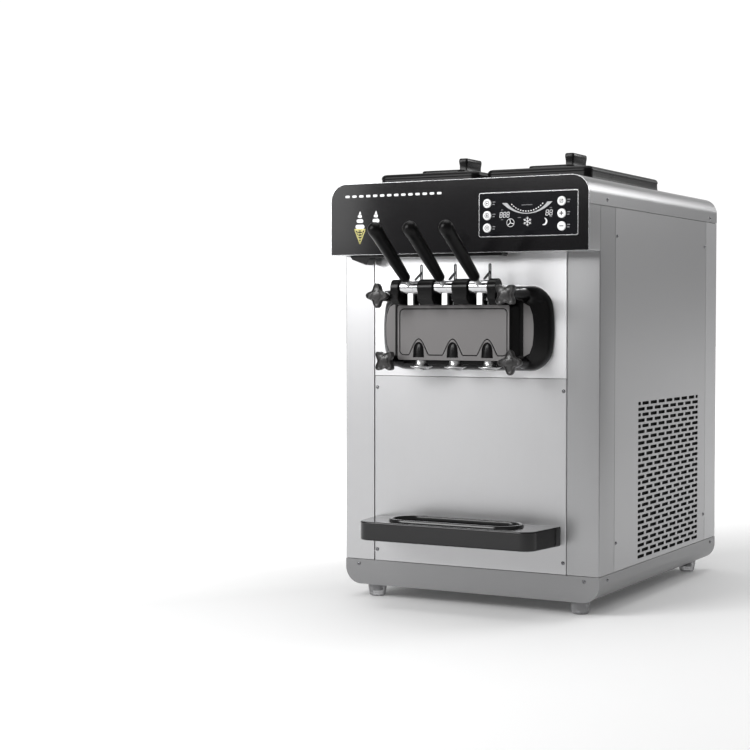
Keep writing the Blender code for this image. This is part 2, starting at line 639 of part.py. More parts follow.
def make_drive():
    box = block("gearbox", (-0.105, 0.318, 0.470), (0.105, 0.380, 0.586), CAST, 0.006)
    cut(box, [rod(f"socket_{side}", "y", (side * BARREL_X, 0.316, BARREL_Z), 0.0068, 0.014,
                  steps=12, cutter=True) for side in (-1, 1)])
    cut(box, rod("input_socket", "y", (0, 0.380, BARREL_Z), 0.0085, 0.02, steps=16, cutter=True))
    for name, z, radius, reach in (("gearbox_pulley", BARREL_Z, PULLEY_BIG, 0.373),
                                   ("motor_pulley", MOTOR_Z, PULLEY_SMALL, 0.373)):
        wheel = rod(name, "y", (0, BELT_Y, z), radius, 0.020, CAST, 32 if radius > 0.05 else 20,
                    origin=(0, BELT_Y, z))
        join(wheel, rod(f"{name}_shaft", "y", (0, (reach + BELT_Y) / 2, z), 0.008, BELT_Y - reach,
                        steps=16, cutter=True))
    make_belt()
    motor = rod("drive_motor", "y", (0, 0.270, MOTOR_Z), 0.062, 0.190, PAINT, 28)
    foot = block("motor_foot", (-0.055, 0.200, FOOT_HEIGHT + SHEET + GAP), (0.055, 0.340, 0.105),
                 cutter=True)
    join(motor, foot)
    cut(motor, rod("motor_socket", "y", (0, 0.366, MOTOR_Z), 0.0083, 0.02, steps=16, cutter=True))


def belt_outline(clear):
    """The open belt's path about both pulleys, that far outside them."""
    big, small = PULLEY_BIG + clear, PULLEY_SMALL + clear
    lean = math.degrees(math.asin((PULLEY_BIG - PULLEY_SMALL) / (BARREL_Z - MOTOR_Z)))
    return (arc(0, BARREL_Z, big, -lean, 180 + lean, 20)
            + arc(0, MOTOR_Z, small, 180 + lean, 360 - lean, 10))


def make_belt():
    slab("drive_belt", [belt_outline(0.0048), belt_outline(0.0010)], BELT_Y - 0.008, BELT_Y + 0.008,
         "y", RUBBER)


def make_refrigeration():
    x, y = -0.165, 0.470
    floor = FOOT_HEIGHT + SHEET + GAP
    turned("compressor", [(0, 0.255), (0.040, 0.250), (0.068, 0.225), (0.074, 0.190),
                          (0.074, 0.100), (0.064, 0.065), (0.064, floor), (0, floor)],
           (x, y, 0), "z", PAINT, 24)
    coil = block("condenser", (0.190, 0.215, floor), (0.235, 0.560, 0.390), ALLOY)
    for i in range(8):
        z = 0.060 + i * 0.040
        cut(coil, block(f"fin_gap_{i}", (0.205, 0.225, z), (0.24, 0.550, z + 0.020), cutter=True))
    shroud = block("fan_post", (0.094, 0.345, floor), (0.192, 0.425, 0.060), cutter=True)
    stand = block("fan_stand", (0.094, 0.375, floor + 0.001), (0.122, 0.395, 0.235), cutter=True)
    join(coil, [shroud, stand])
    hub_x, fan_y, fan_z = 0.140, 0.385, 0.225
    cut(coil, rod("fan_bore", "x", (0.105, fan_y, fan_z), 0.0045, 0.05, steps=12, cutter=True))
    fan = rod("condenser_fan", "x", (hub_x + 0.006, fan_y, fan_z), 0.026, 0.026, BLACK, 16,
              origin=(hub_x, fan_y, fan_z))
    join(fan, rod("fan_shaft", "x", (0.120, fan_y, fan_z), 0.0042, 0.044, steps=12, cutter=True))
    for i in range(5):
        blade = block(f"fan_blade_{i}", (-0.002, -0.022, 0.018), (0.002, 0.022, 0.105), cutter=True)
        blade.data.transform(Matrix.Translation((hub_x + 0.006, fan_y, fan_z))
                             @ Matrix.Rotation(math.radians(72 * i), 4, "X")
                             @ Matrix.Rotation(math.radians(28), 4, "Z"))
        join(fan, blade)


# ---- drip tray ----
def make_tray():
    low, back = TRAY_TOP - TRAY_HEIGHT, -0.0006
    wall, front, radius = TRAY_WALL_HALF, TRAY_FRONT_HALF, 0.026
    corner = (front - radius, -TRAY_DEPTH + radius)
    outline = ([(-wall, back)] + arc(-corner[0], corner[1], radius, 180, 270, 6)
               + arc(corner[0], corner[1], radius, 270, 360, 6) + [(wall, back)])
    tray = slab("drip_tray", [outline], low, TRAY_TOP - 0.005, "z", GLOSS)
    edge = tray.modifiers.new("edges", "BEVEL")
    edge.width = 0.003
    edge.segments = 2
    edge.limit_method = "ANGLE"
    edge.angle_limit = math.radians(50)
    length, width = RING_LENGTH / 2, RING_WIDTH / 2

    def obround(inset):
        return rounded(-length + inset, RING_Y - width + inset, length - inset,
                       RING_Y + width - inset, (width - inset,) * 4, 6)

    ring = slab("tray_ring", [obround(0)], TRAY_TOP - 0.008, TRAY_TOP, "z", cutter=True)
    hooks = [block(f"tray_hook_{side}", (side * 0.15 - 0.009, -0.004, 0.146),
                   (side * 0.15 + 0.009, 0.010, 0.153), cutter=True) for side in (-1, 1)]
    join(tray, [ring] + hooks)
    cut(tray, slab("tray_basin", [obround(0.008)], low + 0.003, TRAY_TOP + 0.01, "z", cutter=True))
    plate = obround(0.0085)
    slots = []
    for i in range(9):
        x = (i - 4) * 0.024
        slots.append(rounded(x - 0.003, RING_Y - 0.024, x + 0.003, RING_Y + 0.024, (0,) * 4))
    insert = slab("drip_insert", [plate] + slots, TRAY_TOP - 0.013, TRAY_TOP - 0.010, "z", BLACK)
    legs = []
    for side in (-1, 1):
        legs.append(block(f"insert_leg_{side}", (side * 0.115 - 0.006, RING_Y - 0.02, low + 0.0035),
                          (side * 0.115 + 0.006, RING_Y + 0.02, TRAY_TOP - 0.011), cutter=True))
    join(insert, legs)


def main():
    start()
    make_base()
    make_cover()
    make_posts()
    make_front_panels()
    make_side_panels()
    make_rear()
    make_header()
    make_head_body()
    make_levers()
    make_valves()
    make_knobs()
    make_hoppers()
    make_lids()
    make_barrels()
    make_drive()
    make_refrigeration()
    make_tray()


main()
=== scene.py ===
"""Looks of a countertop soft serve machine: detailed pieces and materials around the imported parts.

Shapes are drawn in the machine's own axes, in metres: x to the right, y back from the front panel,
z up from the floor. place() moves them into the frame.
"""

import math

import bmesh
import bpy
from mathutils import Matrix, Vector


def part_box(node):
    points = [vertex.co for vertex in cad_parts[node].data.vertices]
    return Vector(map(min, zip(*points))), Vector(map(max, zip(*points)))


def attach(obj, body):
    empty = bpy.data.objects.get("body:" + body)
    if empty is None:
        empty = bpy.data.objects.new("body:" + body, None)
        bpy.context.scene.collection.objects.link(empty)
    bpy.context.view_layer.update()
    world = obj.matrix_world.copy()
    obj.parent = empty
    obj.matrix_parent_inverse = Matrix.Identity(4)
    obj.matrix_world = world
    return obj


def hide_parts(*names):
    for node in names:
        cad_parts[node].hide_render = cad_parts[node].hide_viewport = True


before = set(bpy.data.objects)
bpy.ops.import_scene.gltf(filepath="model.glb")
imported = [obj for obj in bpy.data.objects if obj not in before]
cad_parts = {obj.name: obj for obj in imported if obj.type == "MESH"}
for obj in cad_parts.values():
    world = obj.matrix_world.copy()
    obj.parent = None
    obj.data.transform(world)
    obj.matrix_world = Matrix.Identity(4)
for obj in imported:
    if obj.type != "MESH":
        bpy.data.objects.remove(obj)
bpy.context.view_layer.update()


# ---- driving dimensions, read from the frame ----
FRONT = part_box("front_panel_upper")[0].y


def span(node):
    """Lowest and highest corner of a CAD node, in the machine's axes."""
    shift = Vector((0, FRONT, 0))
    low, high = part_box(node)
    return low - shift, high - shift


def middle(node):
    low, high = span(node)
    return (low + high) / 2


HALF = span("base_pan")[1].x
DEPTH = span("base_pan")[1].y
BASE_BOTTOM, BASE_TOP = span("base_pan")[0].z, span("base_pan")[1].z
COVER_BOTTOM, TOP = span("top_cover")[0].z, span("top_cover")[1].z
COVER_FRONT = span("top_cover")[0].y
PANEL_HALF = span("front_panel_upper")[1].x
PANEL_TOP, SEAM_Z = span("front_panel_upper")[1].z, span("front_panel_upper")[0].z
POST_BACK = span("front_post_right")[1].y
FASCIA_FACE, FASCIA_BACK = span("header_fascia")[0].y, span("header_fascia")[1].y
HEADER_BOTTOM = span("header_fascia")[0].z
GLASS_LOW, GLASS_HIGH = span("display_panel")
VALVES = {"left": middle("valve_piston_left"), "centre": middle("valve_piston_centre"),
          "right": middle("valve_piston_right")}
PIVOT = middle("pivot_pin")
SHEET = 0.0015
EDGE_RADIUS = 0.033
BEND = 0.0022
FLANGE_Y = -0.042
BLOCK_Y = -0.065
BLOCK_Z = (0.476, 0.580)
LEVER_ANGLE = math.radians(36)
FORK_ANGLE = math.radians(-11)
HUB_RADIUS, HUB_LENGTH = 0.0125, 0.040
PIN_BORE = 0.0043
KEY_RADIUS = 0.0085
TRAY_MIDDLE = -0.052
# Half width, low and high z, side bulge and corner radius of the flange, at its face and at its root.
FLANGE_FACE, FLANGE_ROOT = (0.148, 0.475, 0.590, 0.010, 0.022), (0.168, 0.455, 0.616, 0.011, 0.036)
# How far an edge is broken on folded sheet and on formed covers.
SHEET_EDGE, FORMED_EDGE = 0.00045, 0.0011


# ---- materials ----
def feed(tree, node, inputs):
    """Sets inputs of a node, and links those whose value is another node's output."""
    for name, value in inputs.items():
        if isinstance(value, bpy.types.NodeSocket):
            tree.links.new(value, node.inputs[name])
        else:
            node.inputs[name].default_value = value


def shader_node(tree, kind, inputs, **settings):
    node = tree.nodes.new("ShaderNode" + kind)
    for setting, value in settings.items():
        setattr(node, setting, value)
    feed(tree, node, inputs)
    return node


def surface(name, colour, roughness, metallic=0.0, tint=0.08, blotch=7.0, grain=(90, 90, 90),
            spread=0.05, depth=0.0, detail=6.0, **sockets):
    """A finish whose colour drifts slowly and whose fine grain changes its gloss and its relief.

    grain is how many grains fit in a metre along each axis, so unequal numbers make brush lines."""
    made = bpy.data.materials.new(name)
    made.use_nodes = True
    tree = made.node_tree
    shader = tree.nodes["Principled BSDF"]
    place_of = shader_node(tree, "TexCoord", {}).outputs["Object"]
    stretch = shader_node(tree, "Mapping", {"Vector": place_of, "Scale": grain})
    fine = shader_node(tree, "TexNoise", {"Vector": stretch.outputs["Vector"], "Scale": 1.0,
                                          "Detail": detail}).outputs["Fac"]
    broad = shader_node(tree, "TexNoise", {"Vector": place_of, "Scale": blotch,
                                           "Detail": 3.0}).outputs["Fac"]
    half = shader_node(tree, "Math", {0: broad, 1: 0.5}, operation="MULTIPLY").outputs["Value"]
    both = shader_node(tree, "Math", {0: fine, 1: 0.5, 2: half},
                       operation="MULTIPLY_ADD").outputs["Value"]
    blend = shader_node(tree, "Mix", {"A": (*(c * (1 - tint) for c in colour), 1),
                                      "B": (*(min(1, c * (1 + tint)) for c in colour), 1),
                                      "Factor": both}, data_type="RGBA")
    gloss = shader_node(tree, "MapRange", {"From Min": 0.3, "From Max": 0.7,
                                           "To Min": max(0.02, roughness - spread),
                                           "To Max": roughness + spread, "Value": both})
    feed(tree, shader, {"Metallic": metallic, "Base Color": blend.outputs["Result"],
                        "Roughness": gloss.outputs["Result"]})
    feed(tree, shader, {socket.replace("_", " "): value for socket, value in sockets.items()})
    if depth:
        bump = shader_node(tree, "Bump", {"Strength": 1.0, "Distance": depth, "Height": fine})
        feed(tree, shader, {"Normal": bump.outputs["Normal"]})
    return made


UPRIGHT, LENGTHWISE, CROSSWISE = (900, 900, 9), (900, 9, 900), (9, 900, 900)


def brushed(name, grey, roughness, grain):
    """Stainless sheet. The brush lines are fine and even, and change the gloss more than the tone."""
    return surface(name, (grey, grey, grey * 1.015), roughness, 1.0, 0.03, 1.6, grain, 0.012,
                   0.0000015, 3.0)


# Copies of one stainless sheet whose greys hold painted light and shade: the bright copy paints light onto
# the upper front panel, and the darker copies paint shade onto the right post and header, the side panels
# and the base.
STEEL = brushed("brushed_steel_upright", 0.50, 0.36, UPRIGHT)
STEEL_PAINTED_BRIGHT = brushed("brushed_steel_painted_bright", 0.84, 0.30, UPRIGHT)
STEEL_PAINTED_SHADE = brushed("brushed_steel_painted_shade", 0.36, 0.31, UPRIGHT)
STEEL_SIDE_PAINTED_SHADE = brushed("brushed_steel_side_painted_shade", 0.42, 0.33, UPRIGHT)
STEEL_LONG = brushed("brushed_steel_lengthwise", 0.38, 0.34, LENGTHWISE)
STEEL_ACROSS_PAINTED_SHADE = brushed("brushed_steel_crosswise_painted_shade", 0.27, 0.36, CROSSWISE)
TRIM = surface("polished_trim", (0.55, 0.55, 0.56), 0.20, 1.0, 0.03, 9.0, (6, 300, 300), 0.03)
STEM = surface("polished_stem", (0.92, 0.92, 0.92), 0.34, 1.0, 0.03, 30.0, (60, 600, 600), 0.03)
CHROME = surface("chrome", (0.58, 0.58, 0.59), 0.09, 1.0, 0.04, 30.0, (60, 600, 600), 0.03, 0.000004)
SATIN = surface("satin_nickel", (0.62, 0.62, 0.62), 0.28, 1.0, 0.05, 30.0, (500, 500, 500), 0.05,
                0.000006)
DARK_METAL = surface("dark_metal", (0.10, 0.10, 0.105), 0.26, 1.0, 0.10, 60.0, (700, 700, 700), 0.05,
                     0.000006)
ZINC = surface("zinc_screws", (0.22, 0.22, 0.23), 0.26, 1.0, 0.12, 200.0, (900, 900, 900), 0.08,
               0.00001)
GLOSS = surface("gloss_black_panel", (0.0050, 0.0046, 0.0053), 0.13, 0.0, 0.12, 5.0, (350, 350, 350),
                0.03, 0.000003, Specular_IOR_Level=0.22)
GLASS = surface("display_glass", (0.0050, 0.0050, 0.0066), 0.10, 0.0, 0.10, 6.0, (300, 300, 300), 0.02,
                0.000001, Specular_IOR_Level=0.26)
TRAY_BLACK = surface("gloss_black_tray", (0.0045, 0.0042, 0.0048), 0.15, 0.0, 0.12, 12.0,
                     (700, 700, 700), 0.04, 0.000006, Specular_IOR_Level=0.42)
BLACK = surface("moulded_black_plastic", (0.0030, 0.0028, 0.0030), 0.24, 0.0, 0.15, 14.0,
                (1600, 1600, 1600), 0.05, 0.00001, Specular_IOR_Level=0.20)
SOFT_BLACK = surface("satin_black_plastic", (0.0020, 0.0018, 0.0020), 0.30, 0.0, 0.15, 10.0,
                     (1400, 1400, 1400), 0.06, 0.00002, Specular_IOR_Level=0.14)
KNOB_BLACK = surface("grey_black_plastic", (0.022, 0.021, 0.021), 0.28, 0.0, 0.15, 40.0,
                     (1800, 1800, 1800), 0.06, 0.00003)
FACE_GREY = surface("satin_grey_face", (0.130, 0.124, 0.124), 0.40, 0.0, 0.05, 8.0,
                    (1500, 1500, 1500), 0.05, 0.00001, Coat_Weight=0.2, Coat_Roughness=0.25)
WHITE = surface("white_key_plastic", (0.86, 0.86, 0.86), 0.28, 0.0, 0.02, 60.0, (900, 900, 900), 0.04)
PRINT = surface("white_print", (0.84, 0.84, 0.85), 0.45, 0.0, 0.03, 120.0, (900, 900, 900), 0.05)
PRINT_DIM = surface("grey_print", (0.22, 0.22, 0.23), 0.45, 0.0, 0.08, 120.0, (900, 900, 900), 0.05)
PRINT_MID = surface("pale_grey_print", (0.42, 0.42, 0.43), 0.45, 0.0, 0.25, 60.0, (900, 900, 900), 0.05)
PRINT_DARK = surface("dark_print", (0.06, 0.06, 0.065), 0.45, 0.0, 0.08, 120.0, (900, 900, 900), 0.05)
WAFFLE = surface("yellow_print", (0.66, 0.60, 0.20), 0.45, 0.0, 0.12, 200.0, (900, 900, 900), 0.05)
FOOT = surface("clear_grey_rubber", (0.50, 0.50, 0.51), 0.14, 0.0, 0.15, 60.0, (500, 500, 500), 0.05,
               0.00003, Transmission_Weight=0.62, IOR=1.45)
RUBBER = surface("black_rubber", (0.018, 0.018, 0.018), 0.75, 0.0, 0.2, 40.0, (1200, 1200, 1200),
                 0.08, 0.00006)
# Near-black filter foam: the filter is a real part, and its near-black colour is painted shade for the dark
# inside of the cabinet seen through the vent slots.
FOAM_AND_PAINTED_SHADE = surface("filter_foam_and_painted_shade", (0.004, 0.004, 0.004), 0.9, 0.0, 0.3, 60.0, (1500, 1500, 1500), 0.05,
               0.0002)
PAINT = surface("black_machine_paint", (0.016, 0.016, 0.017), 0.40, 0.0, 0.2, 20.0, (600, 600, 600),
                0.08, 0.00004)
CAST = surface("cast_aluminium", (0.42, 0.42, 0.43), 0.50, 1.0, 0.12, 25.0, (900, 900, 900), 0.08,
               0.00008)
FINS = surface("fin_aluminium", (0.60, 0.60, 0.61), 0.36, 1.0, 0.08, 20.0, (40, 900, 40), 0.06,
               0.00004)


# ---- outlines ----
def arc(x, y, radius, start, end, steps):
    turns = [math.radians(start + (end - start) * i / steps) for i in range(steps + 1)]
    return [(x + radius * math.cos(t), y + radius * math.sin(t)) for t in turns]


def circle(x, y, radius, steps=24):
    return arc(x, y, radius, 0, 360, steps)[:-1]


def rounded(x0, y0, x1, y1, radii, steps=8):
    """A rectangle whose corners, from lower left and anticlockwise, have these radii."""
    if not isinstance(radii, (tuple, list)):
        radii = (radii,) * 4
    corners = ((x0, y0, 1, 1, 180), (x1, y0, -1, 1, 270), (x1, y1, -1, -1, 0), (x0, y1, 1, -1, 90))
    points = []
    for (x, y, sx, sy, turn), r in zip(corners, radii):
        if r:
            points += arc(x + sx * r, y + sy * r, r, turn, turn + 90, steps)
        else:
            points.append((x, y))
    return [p for i, p in enumerate(points) if math.dist(p, points[i - 1]) > 0.00001]


def bar(x0, y0, x1, y1, width, steps=4):
    """A straight stroke with round ends."""
    turn = math.degrees(math.atan2(y1 - y0, x1 - x0))
    return (arc(x1, y1, width / 2, turn - 90, turn + 90, steps)
            + arc(x0, y0, width / 2, turn + 90, turn + 270, steps))


def grown(outline, distance):
    """An anticlockwise outline moved outwards by distance along its normals."""
    moved = []
    count = len(outline)
    for i, (x, y) in enumerate(outline):
        (ax, ay), (bx, by) = outline[i - 1], outline[(i + 1) % count]
        length = math.hypot(bx - ax, by - ay) or 1
        moved.append((x + distance * (by - ay) / length, y - distance * (bx - ax) / length))
    return moved


def softened(corners, radius, steps=4):
    """A polygon with each corner rounded by radius."""
    points = []
    for i, corner in enumerate(corners):
        here = Vector(corner)
        before = (Vector(corners[i - 1]) - here).normalized()
        after = (Vector(corners[(i + 1) % len(corners)]) - here).normalized()
        half = before.angle(after) / 2
        reach = radius / math.tan(half)
        centre = here + (before + after).normalized() * radius / math.sin(half)
        first, last = here + before * reach - centre, here + after * reach - centre
        start = math.atan2(first.y, first.x)
        turn = (math.atan2(last.y, last.x) - start + math.pi) % (2 * math.pi) - math.pi
        for k in range(steps + 1):
            a = start + turn * k / steps
            points.append((centre.x + radius * math.cos(a), centre.y + radius * math.sin(a)))
    return points


# ---- meshes ----
def to_axis(axis):
    """The rotation that lays a shape made along Z, or drawn in XY, along X, Y or Z."""
    return {"x": Matrix.Rotation(math.pi / 2, 4, "Z") @ Matrix.Rotation(math.pi / 2, 4, "X"),
            "y": Matrix.Rotation(math.pi / 2, 4, "X"),
            "z": Matrix.Identity(4)}[axis]


def added(name, data):
    obj = bpy.data.objects.new(name, data)
    bpy.context.scene.collection.objects.link(obj)
    return obj


def evaluated(obj):
    """The mesh of an object once its modifiers, or its curve's fill, are worked out."""
    bpy.context.view_layer.update()
    graph = bpy.context.evaluated_depsgraph_get()
    return bpy.data.meshes.new_from_object(obj.evaluated_get(graph))


def mesh_of(shape, name="shape"):
    mesh = bpy.data.meshes.new(name)
    shape.to_mesh(mesh)
    shape.free()
    return mesh


def slab(outlines, low, high, axis):
    """Flat outlines, the inner ones being holes, filled and extruded from low to high along axis."""
    curve = bpy.data.curves.new("outline", "CURVE")
    curve.dimensions = "2D"
    curve.fill_mode = "BOTH"
    curve.extrude = (high - low) / 2
    for outline in outlines:
        spline = curve.splines.new("POLY")
        spline.points.add(len(outline) - 1)
        for point, (x, y) in zip(spline.points, outline):
            point.co = (x, y, 0, 1)
        spline.use_cyclic_u = True
    guide = added("outline", curve)
    mesh = evaluated(guide)
    bpy.data.objects.remove(guide)
    bpy.data.curves.remove(curve)
    shape = bmesh.new()
    shape.from_mesh(mesh)
    bmesh.ops.remove_doubles(shape, verts=shape.verts, dist=0.000005)
    bmesh.ops.recalc_face_normals(shape, faces=shape.faces)
    # Facing Y, a drawing's own Z comes out as -Y.
    centre = (low + high) / 2 * (-1 if axis == "y" else 1)
    shape.transform(to_axis(axis) @ Matrix.Translation((0, 0, centre)))
    bpy.data.meshes.remove(mesh)
    return mesh_of(shape)


def merged(meshes):
    shape = bmesh.new()
    for mesh in meshes:
        shape.from_mesh(mesh)
        bpy.data.meshes.remove(mesh)
    return mesh_of(shape)


def loft(rings, closed_ends=True):
    shape = bmesh.new()
    loops = [[shape.verts.new(point) for point in ring] for ring in rings]
    for first, second in zip(loops, loops[1:]):
        for i in range(len(first)):
            j = (i + 1) % len(first)
            shape.faces.new((first[i], first[j], second[j], second[i]))
    if closed_ends:
        shape.faces.new(list(reversed(loops[0])))
        shape.faces.new(loops[-1])
    bmesh.ops.recalc_face_normals(shape, faces=shape.faces)
    return mesh_of(shape)


def lathe(profile, centre=(0, 0, 0), axis="z", steps=40, turn=None):
    """(radius, height) points turned about an axis. Heights run along +axis. A point on the axis
    closes that end, and a profile with none is closed into a ring."""
    shape = bmesh.new()
    loops = []
    for radius, height in profile:
        if radius < 1e-7:
            loops.append([shape.verts.new((0, 0, height))])
        else:
            loops.append([shape.verts.new((radius * math.cos(a), radius * math.sin(a), height))
                          for a in (2 * math.pi * i / steps for i in range(steps))])
    pairs = list(zip(loops, loops[1:]))
    if len(loops[0]) > 1 and len(loops[-1]) > 1:
        pairs.append((loops[-1], loops[0]))
    for first, second in pairs:
        for i in range(steps):
            j = (i + 1) % steps
            corners = []
            for vertex in (first[i % len(first)], first[j % len(first)], second[j % len(second)],
                           second[i % len(second)]):
                if vertex not in corners:
                    corners.append(vertex)
            if len(corners) > 2:
                shape.faces.new(corners)
    bmesh.ops.recalc_face_normals(shape, faces=shape.faces)
    lay = {"x": Matrix.Rotation(math.pi / 2, 4, "Y"), "y": Matrix.Rotation(-math.pi / 2, 4, "X"),
           "z": Matrix.Identity(4)}[axis]
    shape.transform(Matrix.Translation(centre) @ (turn or Matrix.Identity(4)) @ lay)
    return mesh_of(shape)


def rod(radius, low, high, centre=(0, 0, 0), axis="z", steps=40):
    return lathe([(0, low), (radius, low), (radius, high), (0, high)], centre, axis, steps)


def box_mesh(low, high):
    shape = bmesh.new()
    bmesh.ops.create_cube(shape, size=1)
    bmesh.ops.scale(shape, vec=[b - a for a, b in zip(low, high)], verts=shape.verts)
    bmesh.ops.translate(shape, vec=[(a + b) / 2 for a, b in zip(low, high)], verts=shape.verts)
    return mesh_of(shape)


def tube(points, radius, steps=12):
    """A round wire through the points, with closed ends."""
    points = [Vector(p) for p in points]
    rings = []
    side = None
    for i, point in enumerate(points):
        ahead = (points[min(i + 1, len(points) - 1)] - points[max(i - 1, 0)]).normalized()
        if side is None:
            side = ahead.orthogonal().normalized()
        side = (side - ahead * side.dot(ahead)).normalized()
        other = ahead.cross(side)
        rings.append([point + radius * (side * math.cos(a) + other * math.sin(a))
                      for a in (2 * math.pi * k / steps for k in range(steps))])
    return loft(rings)


def thread(radius, pitch, start, end, steps=14):
    """The ridge of a screw thread along +z, as one helical strip on a core."""
    turns = (end - start) / pitch
    count = int(turns * steps)
    rings = []
    for i in range(count + 1):
        a = 2 * math.pi * i / steps
        z = start + (end - start) * i / count
        across = Vector((math.cos(a), math.sin(a), 0))
        rise = Vector((0, 0, 1))
        middle_of = across * radius * 0.94 + rise * z
        rings.append([middle_of - across * radius * 0.10 - rise * pitch * 0.42,
                      middle_of + across * radius * 0.10,
                      middle_of - across * radius * 0.10 + rise * pitch * 0.42])
    return merged([loft(rings), rod(radius * 0.86, start, end, steps=20)])


def place(mesh, name, material, body="cabinet", stands_for=(), bevel=0.0, steps=2,
          angle=45):
    """Puts a mesh into the frame, on a body, with its finish and softly broken edges."""
    mesh.name = name
    mesh.transform(Matrix.Translation((0, FRONT, 0)))
    obj = added(name, mesh)
    mesh.materials.clear()
    mesh.materials.append(material)
    mesh.shade_smooth()
    if bevel:
        edge = obj.modifiers.new("edges", "BEVEL")
        edge.width = bevel
        edge.segments = steps
        edge.limit_method = "ANGLE"
        edge.angle_limit = math.radians(angle)
        edge.harden_normals = True
    else:
        mesh.set_sharp_from_angle(angle=math.radians(angle))
    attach(obj, body)
    if stands_for:
        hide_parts(*([stands_for] if isinstance(stands_for, str) else stands_for))
    return obj


def cut(obj, meshes):
    """Cuts the meshes, given in the machine's axes, out of an object whose edges are already broken."""
    tool_mesh = merged(meshes)
    tool_mesh.transform(Matrix.Translation((0, FRONT, 0)))
    tool = added("cutter", tool_mesh)
    step = obj.modifiers.new("cut", "BOOLEAN")
    step.operation = "DIFFERENCE"
    step.object = tool
    step.use_self = True
    result = evaluated(obj)
    result.name = obj.name
    obj.modifiers.clear()
    obj.data = result
    bpy.data.objects.remove(tool)
    result.shade_smooth()
    even = obj.modifiers.new("even", "WEIGHTED_NORMAL")
    even.keep_sharp = True
    result.set_sharp_from_angle(angle=math.radians(40))
    return obj


def stacked(outline, profile, hollow=False):
    """Rings of one outline, each moved inwards and to its own height, joined into a closed form.

    hollow joins the last ring to the first, which leaves a hole through the middle."""
    rings = [[(x, y, height) for x, y in grown(outline, -inset)] for inset, height in profile]
    return loft(rings + rings[:1] if hollow else rings, closed_ends=not hollow)


# ---- cabinet ----
def make_base():
    profile = rounded(-HALF, BASE_BOTTOM, HALF, BASE_TOP, (EDGE_RADIUS, EDGE_RADIUS, 0, 0), 18)
    # The base pan takes the darkest copy of the steel: painted shade along the bottom of the machine.
    pan = place(slab([profile], 0, DEPTH, "y"), "base_pan_formed", STEEL_ACROSS_PAINTED_SHADE,
                stands_for="base_pan", bevel=FORMED_EDGE, steps=3, angle=50)
    radius = EDGE_RADIUS - SHEET
    room = rounded(-HALF + SHEET, BASE_BOTTOM + SHEET, HALF - SHEET, BASE_TOP + 0.02,
                   (radius, radius, 0, 0), 18)
    cut(pan, [slab([room], SHEET, DEPTH - SHEET, "y")])


def make_feet():
    for node in ("foot_front_left", "foot_front_right", "foot_rear_left", "foot_rear_right"):
        centre = middle(node)
        top = span(node)[1].z
        profile = [(0, top), (0.0185, top), (0.0195, top - 0.0008), (0.0195, top - 0.0035),
                   (0.0188, top - 0.0045), (0.0184, 0.016), (0.0168, 0.0075), (0.0164, 0.0066),
                   (0.0166, 0.0056), (0.0160, 0.0018), (0.0148, 0.0002), (0.0110, 0.0),
                   (0.0095, 0.0018), (0.0085, 0.0022), (0, 0.0022)]
        place(lathe(profile, (centre.x, centre.y, 0)), f"{node}_moulded", FOOT, stands_for=node)
        core = [(0, top + 0.0005), (0.0075, top + 0.0005), (0.0075, 0.0115), (0.0066, 0.0105),
                (0.0035, 0.0105), (0.0032, 0.0125), (0, 0.0125)]
        place(lathe(core, (centre.x, centre.y, 0), steps=24), f"{node}_screw", ZINC)


def make_cover():
    profile = rounded(-HALF, COVER_BOTTOM, HALF, TOP, (0, 0, EDGE_RADIUS, EDGE_RADIUS), 18)
    cover = place(slab([profile], COVER_FRONT, DEPTH, "y"), "top_cover_formed", STEEL_LONG,
                  stands_for="top_cover", bevel=FORMED_EDGE, steps=3, angle=50)
    radius = EDGE_RADIUS - SHEET
    room = rounded(-HALF + SHEET, COVER_BOTTOM - 0.02, HALF - SHEET, TOP - SHEET,
                   (0, 0, radius, radius), 18)
    tools = [slab([room], COVER_FRONT + SHEET, DEPTH - SHEET, "y")]
    for node in ("hopper_left", "hopper_right"):
        low, high = span(node)
        rim = 0.006
        tools.append(slab([rounded(low.x + rim, low.y + rim, high.x - rim, high.y - rim, 0.021)],
                          TOP - 0.01, TOP + 0.01, "z"))
    cut(cover, tools)


def make_posts():
    low, high = span("front_post_right")
    for side, name in ((-1, "left"), (1, "right")):
        outer = softened([(low.x, 0), (HALF, 0), (HALF, POST_BACK)], BEND, 6)
        corner = [p for p in outer if p[0] > low.x + 0.01 and p[1] < POST_BACK - 0.01]
        inner = [(HALF - SHEET, POST_BACK), (HALF - SHEET, SHEET), (low.x, SHEET)]
        outline = [(low.x, 0)] + corner + [(HALF, POST_BACK)] + inner
        outline = [(side * x, y) for x, y in outline][::side]
        # The right post takes a darker copy of the steel than the left: painted shade.
        place(slab([outline], low.z, high.z, "z"), f"front_post_{name}_folded",
              STEEL if side < 0 else STEEL_PAINTED_SHADE, stands_for=f"front_post_{name}", bevel=SHEET_EDGE, angle=50)


def channel(half, front, back, facing=1):
    """A sheet folded back at both sides, in XY. facing -1 turns its face to the rear."""
    corner = arc(half - BEND, front + facing * BEND, BEND, -90 * facing, 0, 6)
    right = corner + [(half, back), (half - SHEET, back), (half - SHEET, front + facing * SHEET)]
    left = [(-x, y) for x, y in reversed(right)]
    outline = right + left
    return outline if facing > 0 else outline[::-1]


